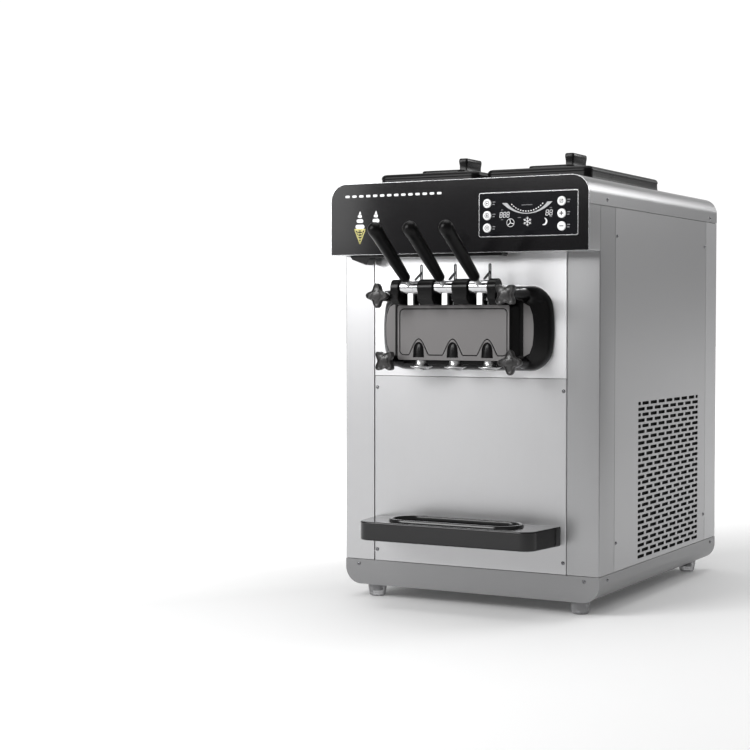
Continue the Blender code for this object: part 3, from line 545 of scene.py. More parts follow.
def make_front_panels():
    back = span("front_panel_upper")[1].y
    # The upper front panel takes the bright copy of the steel: painted light.
    upper = place(slab([channel(PANEL_HALF, 0, back)], SEAM_Z, PANEL_TOP, "z"),
                  "front_panel_upper_folded", STEEL_PAINTED_BRIGHT, stands_for="front_panel_upper",
                  bevel=SHEET_EDGE, angle=50)
    holes = []
    for node in ("freezing_cylinder_left", "freezing_cylinder_right"):
        centre, (low, high) = middle(node), span(node)
        radius = (high.x - low.x) / 2 + 0.001
        holes.append(rod(radius, -0.01, 0.01, (centre.x, 0, centre.z), "y"))
    cut(upper, holes)
    low, high = span("front_panel_lower")
    place(slab([channel(PANEL_HALF, 0, back)], low.z, high.z, "z"), "front_panel_lower_folded",
          STEEL, stands_for="front_panel_lower", bevel=SHEET_EDGE, angle=50)


VENT_ROWS, VENT_COLUMNS = 28, 8
VENT_PITCH, VENT_RISE = 0.0465, 0.0111
VENT_SLOT, VENT_HEIGHT = 0.0365, 0.0066
VENT_FRONT, VENT_BOTTOM = 0.2015, 0.0885


def vent_slots():
    """Rows of slots, every second one shifted by half a pitch, with a short slot at each end."""
    slots = []
    for row in range(VENT_ROWS):
        z = VENT_BOTTOM + VENT_RISE * row
        runs = []
        if row % 2:
            half = VENT_SLOT / 2 - 0.003
            runs.append((VENT_FRONT, VENT_FRONT + half))
            for column in range(VENT_COLUMNS - 1):
                start = VENT_FRONT + VENT_PITCH * (column + 0.5)
                runs.append((start, start + VENT_SLOT))
            end = VENT_FRONT + VENT_PITCH * (VENT_COLUMNS - 1) + VENT_SLOT
            runs.append((end - half, end))
        else:
            for column in range(VENT_COLUMNS):
                start = VENT_FRONT + VENT_PITCH * column
                runs.append((start, start + VENT_SLOT))
        for start, end in runs:
            slots.append(rounded(start, z - VENT_HEIGHT / 2, end, z + VENT_HEIGHT / 2, 0.0024, 3))
    return slots


def make_side_panels():
    low, high = span("side_panel_right")
    edge = rounded(low.y, low.z, high.y, high.z, 0.0006, 2)
    for side, name in ((-1, "left"), (1, "right")):
        inner, outer = sorted((side * HALF, side * (HALF - SHEET)))
        # The side panels take a darker copy of the steel: painted shade.
        place(slab([edge] + vent_slots(), inner, outer, "x"), f"side_panel_{name}_punched",
              STEEL_SIDE_PAINTED_SHADE, stands_for=f"side_panel_{name}", bevel=0.00035, angle=50)
        # A pleated filter sheet just inside the vent slots, near black: painted shade for the cabinet's dark
        # interior behind the slots.
        y0, y1 = VENT_FRONT - 0.010, VENT_FRONT + VENT_PITCH * VENT_COLUMNS + 0.006
        pleat, reach = 0.006, HALF - SHEET - 0.0012
        count = int((y1 - y0) / pleat)
        front = [(reach - (0.0025 if i % 2 else 0), y0 + pleat * i) for i in range(count + 1)]
        back = [(x - 0.0015, y) for x, y in reversed(front)]
        outline = [(side * x, y) for x, y in front + back][::side]
        place(slab([outline], 0.078, VENT_BOTTOM + VENT_RISE * VENT_ROWS + 0.006, "z"),
              f"air_filter_{name}", FOAM_AND_PAINTED_SHADE)


def make_rear():
    low, high = span("rear_panel")
    panel = place(slab([channel(HALF, DEPTH, low.y, -1)], low.z, high.z, "z"),
                  "rear_panel_folded", STEEL, stands_for="rear_panel", bevel=SHEET_EDGE,
                  angle=50)
    vents = [0.50 + row * 0.026 for row in range(6)]
    gland = middle("cable_gland")
    tools = [box_mesh((-0.13, DEPTH - 0.01, z), (0.13, DEPTH + 0.01, z + 0.008)) for z in vents]
    tools.append(rod(0.0095, -0.01, 0.01, (gland.x, DEPTH, gland.z), "y"))
    cut(panel, tools)
    hoods = []
    for z in vents:
        outer = arc(DEPTH - 0.0002, z + 0.0015, 0.0075, 0, 90, 8)
        inner = arc(DEPTH - 0.0002, z + 0.0015, 0.0065, 90, 0, 8)
        hoods.append(slab([outer + inner], -0.134, 0.134, "x"))
    place(merged(hoods), "rear_louvres", STEEL, bevel=0.0002, steps=1, angle=50)
    place(slab([rounded(0.06, 0.30, 0.15, 0.355, 0.003)], DEPTH, DEPTH + 0.0005, "y"),
          "rear_blank_plate", SATIN, bevel=0.0002, steps=1)
    x, z = gland.x, gland.z
    body = [(0.0048, DEPTH - 0.008), (0.0090, DEPTH - 0.008), (0.0090, DEPTH + 0.0002),
            (0.0150, DEPTH + 0.0002), (0.0150, DEPTH + 0.0012), (0.0142, DEPTH + 0.002),
            (0.0110, DEPTH + 0.002), (0.0108, DEPTH + 0.006), (0.0100, DEPTH + 0.0085),
            (0.0080, DEPTH + 0.0115), (0.0066, DEPTH + 0.0129), (0.0052, DEPTH + 0.0130),
            (0.0048, DEPTH + 0.0124)]
    pieces = [lathe(body, (x, 0, z), "y", 32)]
    hexagon = circle(x, z, 0.0135, 6)
    pieces.append(slab([hexagon, circle(x, z, 0.0090)], DEPTH + 0.0015, DEPTH + 0.0055, "y"))
    place(merged(pieces), "cable_gland_moulded", BLACK, stands_for="cable_gland",
          bevel=0.0004, angle=30)


def screw_mesh():
    """A pan head screw that faces +z, with a cross recess."""
    head = lathe([(0, 0.0018), (0.0012, 0.00178), (0.0024, 0.0015), (0.0033, 0.0009),
                  (0.0037, 0.0001), (0.0037, -0.0006), (0, -0.0006)], steps=24)
    obj = added("screw", head)
    cross = [box_mesh((-0.0021, -0.00045, 0.0006), (0.0021, 0.00045, 0.004)),
             box_mesh((-0.00045, -0.0021, 0.0006), (0.00045, 0.0021, 0.004))]
    for number, mesh in enumerate(cross):
        step = obj.modifiers.new("cross", "BOOLEAN")
        step.object = added(f"cross_{number}", mesh)
    made = evaluated(obj)
    for step in list(obj.modifiers):
        bpy.data.objects.remove(step.object)
    bpy.data.objects.remove(obj)
    return made


def make_screws():
    plain = screw_mesh()
    # Places on the side panels as (y, z): two on the cover, four on the panel, two on the base.
    beside = ((0.033, 0.773), (0.638, 0.771), (0.084, 0.708), (0.602, 0.708), (0.084, 0.130),
              (0.603, 0.132), (0.042, 0.066), (0.653, 0.066))
    front = [(side * 0.198, z) for side in (-1, 1) for z in (0.4185, 0.0975)]
    front += [(side * 0.240, 0.066) for side in (-1, 1)]
    rear = [(side * 0.252, z) for side in (-1, 1) for z in (0.105, 0.418, 0.735)]
    places = []
    for y, z in beside:
        places.append(((HALF, y, z), Matrix.Rotation(math.pi / 2, 4, "Y")))
        places.append(((-HALF, y, z), Matrix.Rotation(-math.pi / 2, 4, "Y")))
    places += [((x, 0, z), Matrix.Rotation(math.pi / 2, 4, "X")) for x, z in front]
    places += [((x, DEPTH, z), Matrix.Rotation(-math.pi / 2, 4, "X")) for x, z in rear]
    copies = []
    for number, (where, facing) in enumerate(places):
        copy = plain.copy()
        spin = Matrix.Rotation(number * 2.4, 4, "Z")
        copy.transform(Matrix.Translation(where) @ facing @ spin)
        copies.append(copy)
    place(merged(copies), "cabinet_screws", ZINC, angle=30)


# ---- header ----
def make_header():
    low, high = span("header_housing")
    radius, s = BEND, SHEET
    section = (arc(-HALF + radius, low.z + radius, radius, 180, 270, 5)
               + arc(HALF - radius, low.z + radius, radius, 270, 360, 5)
               + [(HALF, high.z), (HALF - s, high.z), (HALF - s, low.z + s), (-HALF + s, low.z + s),
                  (-HALF + s, high.z), (-HALF, high.z)])
    # The header housing takes the same darker copy of the steel as the right post: painted shade.
    place(slab([section], low.y, high.y, "y"), "header_housing_folded", STEEL_PAINTED_SHADE,
          stands_for="header_housing", bevel=SHEET_EDGE, angle=50)
    trim = 0.0006
    corner = EDGE_RADIUS
    outer = rounded(-HALF, HEADER_BOTTOM, HALF, TOP, (0.0008, 0.0008, corner, corner), 16)
    inner = rounded(-HALF + trim, HEADER_BOTTOM + trim, HALF - trim, TOP - trim,
                    (0.0004, 0.0004, corner - trim, corner - trim), 16)
    place(slab([outer, inner], FASCIA_FACE - 0.0003, FASCIA_BACK, "y"), "fascia_edge_trim", TRIM,
          bevel=0.0003, angle=50)
    gap = 0.0001
    face = grown(inner, -gap)
    window = rounded(GLASS_LOW.x - 0.0003, GLASS_LOW.z - 0.0003, GLASS_HIGH.x + 0.0003,
                     GLASS_HIGH.z + 0.0003, 0.005, 6)
    place(slab([face, window], FASCIA_FACE, FASCIA_BACK, "y"), "header_fascia_gloss", GLOSS,
          stands_for="header_fascia", bevel=0.0004, angle=50)


def make_lamp():
    low, high = span("header_lamp")
    wedge = softened([(low.x + 0.001, high.z), (low.x + 0.007, high.z - 0.0080),
                      (low.x + 0.038, low.z), (low.x + 0.0445, low.z + 0.010),
                      (low.x + 0.0470, high.z)], 0.0012, 3)
    rail = softened([(low.x + 0.040, high.z), (low.x + 0.042, high.z - 0.0054),
                     (high.x - 0.004, high.z - 0.0054), (high.x, high.z)], 0.0010, 3)
    place(merged([slab([wedge], low.y + 0.004, high.y, "y"),
                  slab([rail], low.y, high.y - 0.008, "y")]), "header_lamp_housing", BLACK,
          stands_for="header_lamp", bevel=0.0006, angle=50)
    lens = rounded(low.x + 0.080, low.y + 0.006, high.x - 0.012, high.y - 0.014, 0.004, 4)
    place(slab([lens], high.z - 0.0058, high.z - 0.0052, "z"), "header_lamp_lens", WHITE,
          bevel=0.0002)


def printed(name, outline_groups, y, material, body="cabinet", thick=0.00012):
    """Flat marks on a face that looks forward. Each group is one outline followed by its holes."""
    meshes = [slab(group, y - thick, y + 0.00005, "y") for group in outline_groups]
    return place(merged(meshes), name, material, body)


def seven_segments(x, z, height, width, stroke):
    """All seven strokes of one digit, leaning slightly to the right."""
    h, w = height / 2, width / 2
    gap = stroke * 0.7
    lines = [((-w + gap, h), (w - gap, h)), ((-w + gap, 0), (w - gap, 0)),
             ((-w + gap, -h), (w - gap, -h))]
    for side in (-1, 1):
        lines += [((side * w, gap), (side * w, h - gap)), ((side * w, -h + gap), (side * w, -gap))]
    lean = 0.12
    return [[bar(x + a[0] + lean * a[1], z + a[1], x + b[0] + lean * b[1], z + b[1], stroke, 2)]
            for a, b in lines]


def turned_marks(x, z, groups, count, start=0.0):
    """Outline groups drawn about the origin, repeated round a centre."""
    copies = []
    for k in range(count):
        a = start + 2 * math.pi * k / count
        c, s = math.cos(a), math.sin(a)
        for group in groups:
            copies.append([[(x + c * u - s * v, z + s * u + c * v) for u, v in outline]
                           for outline in group])
    return copies


def make_display():
    glass_y = GLASS_LOW.y
    edge = rounded(GLASS_LOW.x, GLASS_LOW.z, GLASS_HIGH.x, GLASS_HIGH.z, 0.0047, 6)
    keys = [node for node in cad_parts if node.startswith("button_")]
    holes = [circle(middle(k).x, middle(k).z, KEY_RADIUS + 0.0003, 32) for k in sorted(keys)]
    pane = grown(edge, -0.0019)
    place(slab([pane] + holes, glass_y, FASCIA_BACK, "y"), "display_glass_pane", GLASS,
          stands_for="display_panel", bevel=0.00025, angle=50)
    place(slab([grown(edge, -0.0007), grown(edge, -0.0018)], glass_y - 0.0005, FASCIA_BACK, "y"),
          "display_frame", TRIM, bevel=0.0003, steps=3, angle=50)
    centre = (GLASS_LOW.x + GLASS_HIGH.x) / 2 - 0.0015
    low_z, tip_z, tip_x = 0.7462, 0.7672, 0.0505
    outer_r = (tip_x ** 2 + (tip_z - low_z) ** 2) / (2 * (tip_z - low_z))
    inner_x, inner_low = 0.0405, low_z + 0.0016
    inner_r = (inner_x ** 2 + (tip_z - inner_low) ** 2) / (2 * (tip_z - inner_low))
    spread = math.degrees(math.asin(tip_x / outer_r))
    inner_spread = math.degrees(math.asin(inner_x / inner_r))
    bow = arc(centre, low_z + outer_r, outer_r, 270 - spread, 270 + spread, 28)
    bow += arc(centre, inner_low + inner_r, inner_r, 270 + inner_spread, 270 - inner_spread, 28)
    printed("display_gauge", [[bow]], glass_y, PRINT_MID)
    marks = []
    dots = 14
    for i in range(dots):
        a = math.radians(270 - 46 + 92 * i / (dots - 1))
        r = 0.0430
        marks.append([circle(centre + r * math.cos(a), 0.7510 + r + r * math.sin(a), 0.0012, 12)])
    for x in (0.0960, 0.1030, 0.1100):
        marks += seven_segments(x, 0.7455, 0.0095, 0.0046, 0.0009)
    for x in (0.1885, 0.1960):
        marks += seven_segments(x, 0.7470, 0.0095, 0.0048, 0.0009)
    fan_x, snow_x, moon_x, icon_z = centre - 0.0335, centre + 0.0005, centre + 0.0335, 0.7305
    marks.append([circle(fan_x, icon_z, 0.0078, 32), circle(fan_x, icon_z, 0.0071, 32)])
    blade = [[bar(0.0010, 0, 0.0062, 0.0012, 0.0013, 3)]]
    marks += turned_marks(fan_x, icon_z, blade, 3, math.pi / 2)
    marks.append([circle(fan_x, icon_z, 0.0013, 12)])
    arm = [[bar(0.0006, 0, 0.0082, 0, 0.0010, 2)], [bar(0.0046, 0, 0.0066, 0.0022, 0.0008, 2)],
           [bar(0.0046, 0, 0.0066, -0.0022, 0.0008, 2)]]
    marks += turned_marks(snow_x, icon_z + 0.0015, arm, 6, math.pi / 6)
    moon = arc(moon_x, icon_z + 0.0005, 0.0068, -110, 70, 18)
    moon += arc(moon_x - 0.0028, icon_z + 0.0015, 0.0064, 55, -95, 16)
    marks.append([moon])
    printed("display_marks", marks, glass_y, PRINT)
    faint = []
    for x, z, width in ((centre, 0.7625, 0.022), (0.0985, 0.7545, 0.0045), (0.196, 0.7560, 0.005),
                        (0.0985, 0.7365, 0.004), (0.133, 0.7395, 0.006), (0.196, 0.7395, 0.005)):
        pieces = max(2, round(width / 0.0024))
        for k in range(pieces):
            left = x - width / 2 + width * k / pieces
            faint.append([rounded(left, z - 0.0006, left + width / pieces * 0.7, z + 0.0006, 0)])
    for key in sorted(keys):
        x, z = middle(key).x + KEY_RADIUS, middle(key).z
        for row, width in ((0.0022, 0.0058), (-0.0022, 0.0044)):
            for k in range(2):
                left = x + 0.0026 + width / 2 * k
                faint.append([rounded(left, z + row - 0.0009, left + width * 0.40, z + row + 0.0009,
                                      0)])
    printed("display_captions", faint, glass_y, PRINT_DIM)


def key_icon(node, x, z):
    """A plain sign for each key."""
    if node.endswith("right_middle"):
        return [[bar(x - 0.0030, z, x + 0.0030, z, 0.0020)],
                [bar(x, z - 0.0030, x, z + 0.0030, 0.0020)]]
    if node.endswith("right_bottom"):
        return [[bar(x - 0.0034, z, x + 0.0034, z, 0.0017)]]
    if node.endswith("right_top"):
        return [[rounded(x - 0.0034, z - 0.0034, x + 0.0034, z + 0.0034, 0.001),
                 rounded(x - 0.0024, z - 0.0024, x + 0.0024, z + 0.0024, 0.0005)],
                [bar(x - 0.0012, z - 0.0012, x + 0.0022, z + 0.0022, 0.0010)]]
    ring = [circle(x, z, 0.0046, 28), circle(x, z, 0.0037, 28)]
    if node.endswith("left_top"):
        return [ring, [softened([(x - 0.0016, z - 0.0021), (x + 0.0022, z), (x - 0.0016, z + 0.0021)],
                                0.0004, 2)]]
    if node.endswith("left_middle"):
        return [ring, [rounded(x - 0.0018, z - 0.0020, x + 0.0018, z + 0.0008, 0.0006)],
                [bar(x, z + 0.0008, x, z + 0.0024, 0.0012)]]
    return [ring, [circle(x, z, 0.0021, 20), circle(x, z, 0.0012, 20)]]


def make_keys():
    for node in sorted(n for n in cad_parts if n.startswith("button_")):
        low, high = span(node)
        centre = middle(node)
        body = node.replace("button_", "key_")
        radius, face, back = KEY_RADIUS, low.y, high.y
        profile = [(0, face + 0.0002), (0.0050, face + 0.0001), (0.0070, face), (0.0078, face + 0.0002),
                   (0.0083, face + 0.0008), (radius, face + 0.0016), (radius, back - 0.0012),
                   (radius + 0.0018, back - 0.0011), (radius + 0.0018, back), (0, back)]
        place(lathe(profile, (centre.x, 0, centre.z), "y", 48), f"{node}_cap", WHITE, body,
              stands_for=node, angle=60)
        printed(f"{node}_sign", key_icon(node, centre.x, centre.z), face + 0.0001, PRINT_DARK, body,
                thick=0.0002)


def make_decoration():
    """A row of plain dashes and two plain cone signs on the left of the fascia."""
    count, width, tall, z = 14, 0.0098, 0.0023, 0.7905
    first, pitch = -0.238, 0.0154
    dashes = [[rounded(first + pitch * i, z - tall, first + pitch * i + width, z + tall, 0.0021, 4)]
              for i in range(count)]
    printed("fascia_dashes", dashes, FASCIA_FACE, PRINT)
    cream, waffle = [], []
    for x in (-0.2055, -0.1700):
        for rise, half, tall in ((0.0335, 0.0120, 0.0085), (0.0445, 0.0090, 0.0075),
                                 (0.0535, 0.0055, 0.0065)):
            base = 0.6980 + rise
            cream.append([softened([(x - half, base - tall / 2 + 0.001), (x + half, base - tall / 2),
                                    (x + half * 0.7, base + tall / 2),
                                    (x - half * 0.7, base + tall / 2)], tall * 0.42, 5)])
        cream.append([softened([(x - 0.0028, 0.7555), (x + 0.0030, 0.7555), (x + 0.0006, 0.7625)],
                               0.0006, 2)])
        top, tip, half = 0.7265, 0.6985, 0.0120
        for k in range(5):
            z = top - 0.0008 - k * 0.0052
            w = half * (z - tip) / (top - tip)
            waffle.append([bar(x - w, z, x + w * 0.55, z - 0.0034, 0.0013, 2)])
            waffle.append([bar(x + w, z, x - w * 0.55, z - 0.0034, 0.0013, 2)])
        for side in (-1, 1):
            waffle.append([bar(x + side * half, top, x, tip, 0.0015, 2)])
        waffle.append([bar(x - half, top, x + half, top, 0.0022, 2)])
    printed("fascia_cone_tops", cream, FASCIA_FACE, PRINT)
    printed("fascia_cone_waffles", waffle, FASCIA_FACE, WAFFLE)


# ---- dispensing head ----
def flange_outline(half, low, high, bulge, corner):
    """A rounded rectangle in XZ whose sides swell outwards by bulge at mid-height."""
    points = rounded(-half, low, half, high, corner, 7)
    dense = []
    for i, point in enumerate(points):
        after = points[(i + 1) % len(points)]
        parts = max(1, int(math.dist(point, after) / 0.006))
        dense += [tuple(a + (b - a) * k / parts for a, b in zip(point, after)) for k in range(parts)]
    centre, reach = (low + high) / 2, (high - low) / 2
    swollen = []
    for x, z in dense:
        near = min(1, max(0, (abs(x) - (half - corner)) / corner))
        swell = bulge * (1 - ((z - centre) / reach) ** 2) * near
        swollen.append((x + math.copysign(swell, x), z))
    return swollen


def make_flange():
    """The black mounting flange, which widens in a smooth curve down to the front panel."""
    rings = []
    for inset, y in ((0.0035, FLANGE_Y), (0.0015, FLANGE_Y + 0.0004), (0.0004, FLANGE_Y + 0.0016)):
        rings.append([(x, y, z) for x, z in grown(flange_outline(*FLANGE_FACE), -inset)])
    steps = 9
    for k in range(steps + 1):
        t = k / steps
        ease = math.sin(t * math.pi / 2)
        size = [a + (b - a) * ease for a, b in zip(FLANGE_FACE, FLANGE_ROOT)]
        y = FLANGE_Y + 0.0035 + (-0.0003 - FLANGE_Y - 0.0035) * t
        rings.append([(x, y, z) for x, z in flange_outline(*size)])
    flange = place(loft(rings), "head_flange", BLACK, stands_for="head_body",
                   angle=50)
    centres = [middle(f"freezing_cylinder_{side}") for side in ("left", "right")]
    mouths = [rod(0.040, -0.02, 0.01, (centre.x, 0, centre.z), "y") for centre in centres]
    cut(flange, mouths)


def arch(x, half, low, high, steps=10):
    """A pointed-round doorway outline, anticlockwise."""
    rise = high - low
    points = [(x - half * 1.08, low), (x + half * 1.08, low)]
    for i in range(steps + 1):
        a = math.pi * i / steps
        points.append((x + half * math.cos(a), low + rise * 0.42 + rise * 0.58 * math.sin(a) ** 0.85))
    return points


def panel_outline():
    """The groove in the face plate: a rounded rectangle with three bumps over the doorways."""
    half, low, high, corner = 0.1125, BLOCK_Z[0] + 0.0085, BLOCK_Z[1] - 0.0080, 0.0085
    points = []
    bump, flare = BLOCK_Z[0] + 0.0390, 0.0215
    edge = rounded(-half, low, half, high, corner, 6)
    for i, point in enumerate(edge):
        points.append(point)
        after = edge[(i + 1) % len(edge)]
        if abs(point[1] - low) < 1e-6 and abs(after[1] - low) < 1e-6 and after[0] - point[0] > 0.1:
            for valve in sorted(v.x for v in VALVES.values()):
                for k in range(25):
                    u = -1 + 2 * k / 24
                    lift = (0.5 + 0.5 * math.cos(math.pi * u)) ** 0.62
                    points.append((valve + flare * u, low + (bump - low) * lift))
    return points


def make_block():
    """The block that holds the valves, its face plate, its lower lip and the valve guides."""
    front = rounded(-0.116, BLOCK_Z[0], 0.116, BLOCK_Z[1], 0.008, 6)
    root = rounded(-0.131, BLOCK_Z[0] - 0.001, 0.131, BLOCK_Z[1] + 0.002, 0.010, 6)
    rings = [[(x, BLOCK_Y + 0.0012, z) for x, z in grown(front, -0.0022)],
             [(x, BLOCK_Y + 0.0016, z) for x, z in grown(front, -0.0008)],
             [(x, BLOCK_Y + 0.0030, z) for x, z in front]]
    for k in range(1, 6):
        t = k / 5
        rings.append([(a + (c - a) * t ** 1.6, BLOCK_Y + 0.003 + 0.027 * t, b + (d - b) * t)
                      for (a, b), (c, d) in zip(front, root)])
    block = place(loft(rings), "head_block", BLACK, angle=50)
    cut(block, [rod(0.009, 0.46, 0.60, (valve.x, valve.y, 0)) for valve in VALVES.values()])
    gap = 0.0010
    groove = panel_outline()
    doors = [arch(v.x, 0.0112, BLOCK_Z[0] + 0.0040, BLOCK_Z[0] + 0.0335) for v in VALVES.values()]
    edge = rounded(-0.1170, BLOCK_Z[0] - 0.0010, 0.1170, BLOCK_Z[1] - 0.0015, 0.0040, 5)
    place(slab([edge, grown(groove, gap)] + doors, BLOCK_Y - 0.0012, BLOCK_Y + 0.0014, "y"),
          "face_plate_border", FACE_GREY, bevel=0.0005, steps=3, angle=40)
    place(slab([grown(groove, -gap)], BLOCK_Y - 0.0008, BLOCK_Y + 0.0014, "y"), "face_plate_panel",
          FACE_GREY, bevel=0.0005, steps=3, angle=40)
    lip = rounded(-0.110, BLOCK_Z[0] - 0.0085, 0.110, BLOCK_Z[0] - 0.0005, 0.003, 4)
    place(slab([lip], BLOCK_Y + 0.009, -0.030, "y"), "head_lower_lip", BLACK,
          bevel=0.0012, steps=3)
    cones = []
    foot, back = BLOCK_Z[0] + 0.0044, BLOCK_Y + 0.0014
    for valve in VALVES.values():
        rings = []
        for half, rise in ((0.0098, 0), (0.0094, 0.0060), (0.0088, 0.0120), (0.0076, 0.0180),
                           (0.0058, 0.0225), (0.0034, 0.0255), (0.0010, 0.0266)):
            rings.append([(valve.x + half * math.cos(a), back - 0.35 * half * math.sin(a), foot + rise)
                          for a in (math.pi * k / 14 for k in range(15))])
        cones.append(loft(rings))
    place(merged(cones), "valve_guides", BLACK)


def make_side_faces():
    """The grey faces on the flange, at both sides of the block."""
    for side, name in ((-1, "left"), (1, "right")):
        outer = [p for p in grown(flange_outline(*FLANGE_FACE), -0.0022)
                 if p[0] > 0.1375]
        outer.sort(key=lambda p: p[1])
        low, high = outer[0][1], outer[-1][1]
        outline = softened([(0.1350, low + 0.001)] + outer[2:-2:3] + [(0.1350, high - 0.001)], 0.0004, 2)
        outline = [(side * x, z) for x, z in outline][::side]
        place(slab([outline], FLANGE_Y - 0.0003, FLANGE_Y + 0.0010, "y"), f"flange_face_{name}",
              FACE_GREY, bevel=0.0004, angle=50)


def make_lugs():
    clear = HUB_LENGTH / 2 + 0.001
    xs = sorted(v.x for v in VALVES.values())
    end = 0.109
    spans = [(-end, xs[0] - clear)] + [(a + clear, b - clear) for a, b in zip(xs, xs[1:])]
    spans.append((xs[-1] + clear, end))
    pin = (PIVOT.y, PIVOT.z)
    for number, (x0, x1) in enumerate(spans):
        barrel = arc(pin[0], pin[1] - 0.001, 0.0165, -35, 200, 18)
        web = [(pin[0] - 0.0160, 0.590), (pin[0] - 0.0060, 0.5800), (-0.033, 0.578), (-0.033, 0.598)]
        lug = place(slab([barrel + web], x0, x1, "x"), f"hinge_lug_{number}", BLACK,
                    bevel=0.0016, steps=3, angle=40)
        cut(lug, [rod(PIN_BORE, x0 - 0.01, x1 + 0.01, (0, PIVOT.y, PIVOT.z), "x", 24)])


def make_studs():
    """Washers and bosses that the star knobs tighten on."""
    bosses, studs = [], []
    for node in (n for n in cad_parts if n.startswith("star_knob_")):
        x, z = middle(node).x, middle(node).z
        near, far = span(node)[1].y + 0.0003, FLANGE_Y + 0.008
        bosses.append(lathe([(0, near), (0.0088, near), (0.0098, near + 0.0008), (0.0100, near + 0.004),
                             (0.0105, near + 0.012), (0.0118, far - 0.004), (0.0130, far), (0, far)],
                            (x, 0, z), "y", 32))
        studs.append(lathe([(0, near - 0.0006), (0.0070, near - 0.0006), (0.0070, near + 0.0004),
                            (0, near + 0.0004)], (x, 0, z), "y", 32))
    place(merged(bosses), "stud_bosses", BLACK)
    place(merged(studs), "stud_washers", SATIN)


def star(x, z, turn, tips, waist, points=96):
    """The outline of a four-lobed hand knob."""
    outline = []
    for i in range(points):
        a = 2 * math.pi * i / points
        r = waist + (tips - waist) * (0.5 + 0.5 * math.cos(4 * a)) ** 1.35
        outline.append((x + r * math.cos(a + turn), z + r * math.sin(a + turn)))
    return outline


KNOB_TIPS, KNOB_WAIST = 0.0235, 0.0142
# Inset, depth behind the front, how round and what share of the full size, from the back forwards.
KNOB_RINGS = (
    (0.0030, 0.0130, 0, 1), (0.0012, 0.0128, 0, 1), (0.0003, 0.0118, 0, 1), (0, 0.0100, 0, 1),
    (0, 0.0030, 0, 1), (0.0003, 0.0012, 0, 1), (0.0010, 0.0003, 0, 1), (0.0018, 0, 0, 1),
    (0.0026, 0.0003, 0, 1), (0.0030, 0.0014, 0, 1), (0.0034, 0.0020, 0, 1),
    (0.0055, 0.0021, 0.25, 1), (0.0055, 0.0018, 0.7, 1), (0.0055, 0.0009, 1, 1),
    (0.0055, 0.0003, 1, 0.75), (0.0055, 0.0001, 1, 0.35), (0.0055, 0, 1, 0.05))


def knob_ring(x, y, z, turn, inset, depth, roundness, scale):
    points = []
    for u, v in star(x, z, turn, KNOB_TIPS, KNOB_WAIST):
        du, dv = u - x, v - z
        r = math.hypot(du, dv)
        reach = ((r - inset) * (1 - roundness) + KNOB_WAIST * 0.62 * roundness) * scale
        points.append((x + du / r * reach, y + depth, z + dv / r * reach))
    return points


def make_knobs():
    for node, turn in (("star_knob_upper_left", 0), ("star_knob_upper_right", 45),
                       ("star_knob_lower_left", 45), ("star_knob_lower_right", 0)):
        low, high = span(node)
        x, y, z = middle(node).x, low.y, middle(node).z
        body = node.replace("star_knob", "knob")
        rings = [knob_ring(x, y, z, math.radians(turn), *ring) for ring in KNOB_RINGS]
        place(loft(rings), f"{node}_moulded", KNOB_BLACK, body, stands_for=node,
              angle=60)
        boss = [(0, y + 0.012), (0.0108, y + 0.012), (0.0102, y + 0.0140), (0.0095, high.y - 0.001),
                (0.0088, high.y), (0, high.y)]
        place(lathe(boss, (x, 0, z), "y", 36), f"{node}_boss", KNOB_BLACK, body)


# ---- levers and valves ----
def lever_frame(x):
    """Lays a shape made along z on the lever, from the pivot forward and up."""
    return (Matrix.Translation((x, PIVOT.y, PIVOT.z))
            @ Matrix.Rotation(math.pi / 2 - LEVER_ANGLE, 4, "X"))


def in_frame(mesh, matrix):
    mesh.transform(matrix)
    return mesh


def make_levers():
    for name, valve in VALVES.items():
        x, body = valve.x, f"draw_lever_{name}"
        half, r = HUB_LENGTH / 2, HUB_RADIUS
        hub = [(PIN_BORE, -half), (0.0095, -half), (0.0100, -half + 0.0008), (r - 0.0012, -half + 0.0008),
               (r, -half + 0.0020), (r, -0.0085), (r - 0.0004, -0.0080), (r - 0.0004, 0.0080),
               (r, 0.0085), (r, half - 0.0020), (r - 0.0012, half - 0.0008), (0.0100, half - 0.0008),
               (0.0095, half), (PIN_BORE, half)]
        place(lathe(hub, (x, PIVOT.y, PIVOT.z), "x", 48), f"lever_{name}_hub", CHROME, body,
              stands_for=f"lever_{name}", angle=25)
        collar = lathe([(0, r - 0.0015), (0.0064, r - 0.0015), (0.0064, r + 0.0006),
                        (0.0056, r + 0.0014), (0, r + 0.0014)], steps=28)
        grip_start = 0.026
        screw = thread(0.0046, 0.0019, r, grip_start + 0.004)
        place(in_frame(merged([collar, screw]), lever_frame(x)), f"lever_{name}_thread", CHROME, body,
              angle=40)
        stem = softened([(x - 0.006, PIVOT.y - 0.004), (x + 0.006, PIVOT.y - 0.004),
                         (x + 0.006, PIVOT.y + 0.004), (x - 0.006, PIVOT.y + 0.004)], 0.0008, 3)
        place(slab([stem], PIVOT.z - 0.033, PIVOT.z - 0.008, "z"), f"lever_{name}_stem", STEM, body,
              bevel=0.0006)
        prongs = []
        for side in (-1, 1):
            drawn = softened([(0.006, -0.0042), (0.050, -0.0030), (0.050, 0.0030), (0.006, 0.0042)],
                             0.0012, 3)
            c, s = math.cos(FORK_ANGLE), math.sin(FORK_ANGLE)
            outline = [(PIVOT.y + d * c - h * s, PIVOT.z + d * s + h * c) for d, h in drawn]
            low, high = sorted((x + side * 0.0050, x + side * 0.0085))
            prongs.append(slab([outline], low, high, "x"))
        place(merged(prongs), f"lever_{name}_fork", DARK_METAL, body, bevel=0.0005)
        make_grip(name, x, body, grip_start)


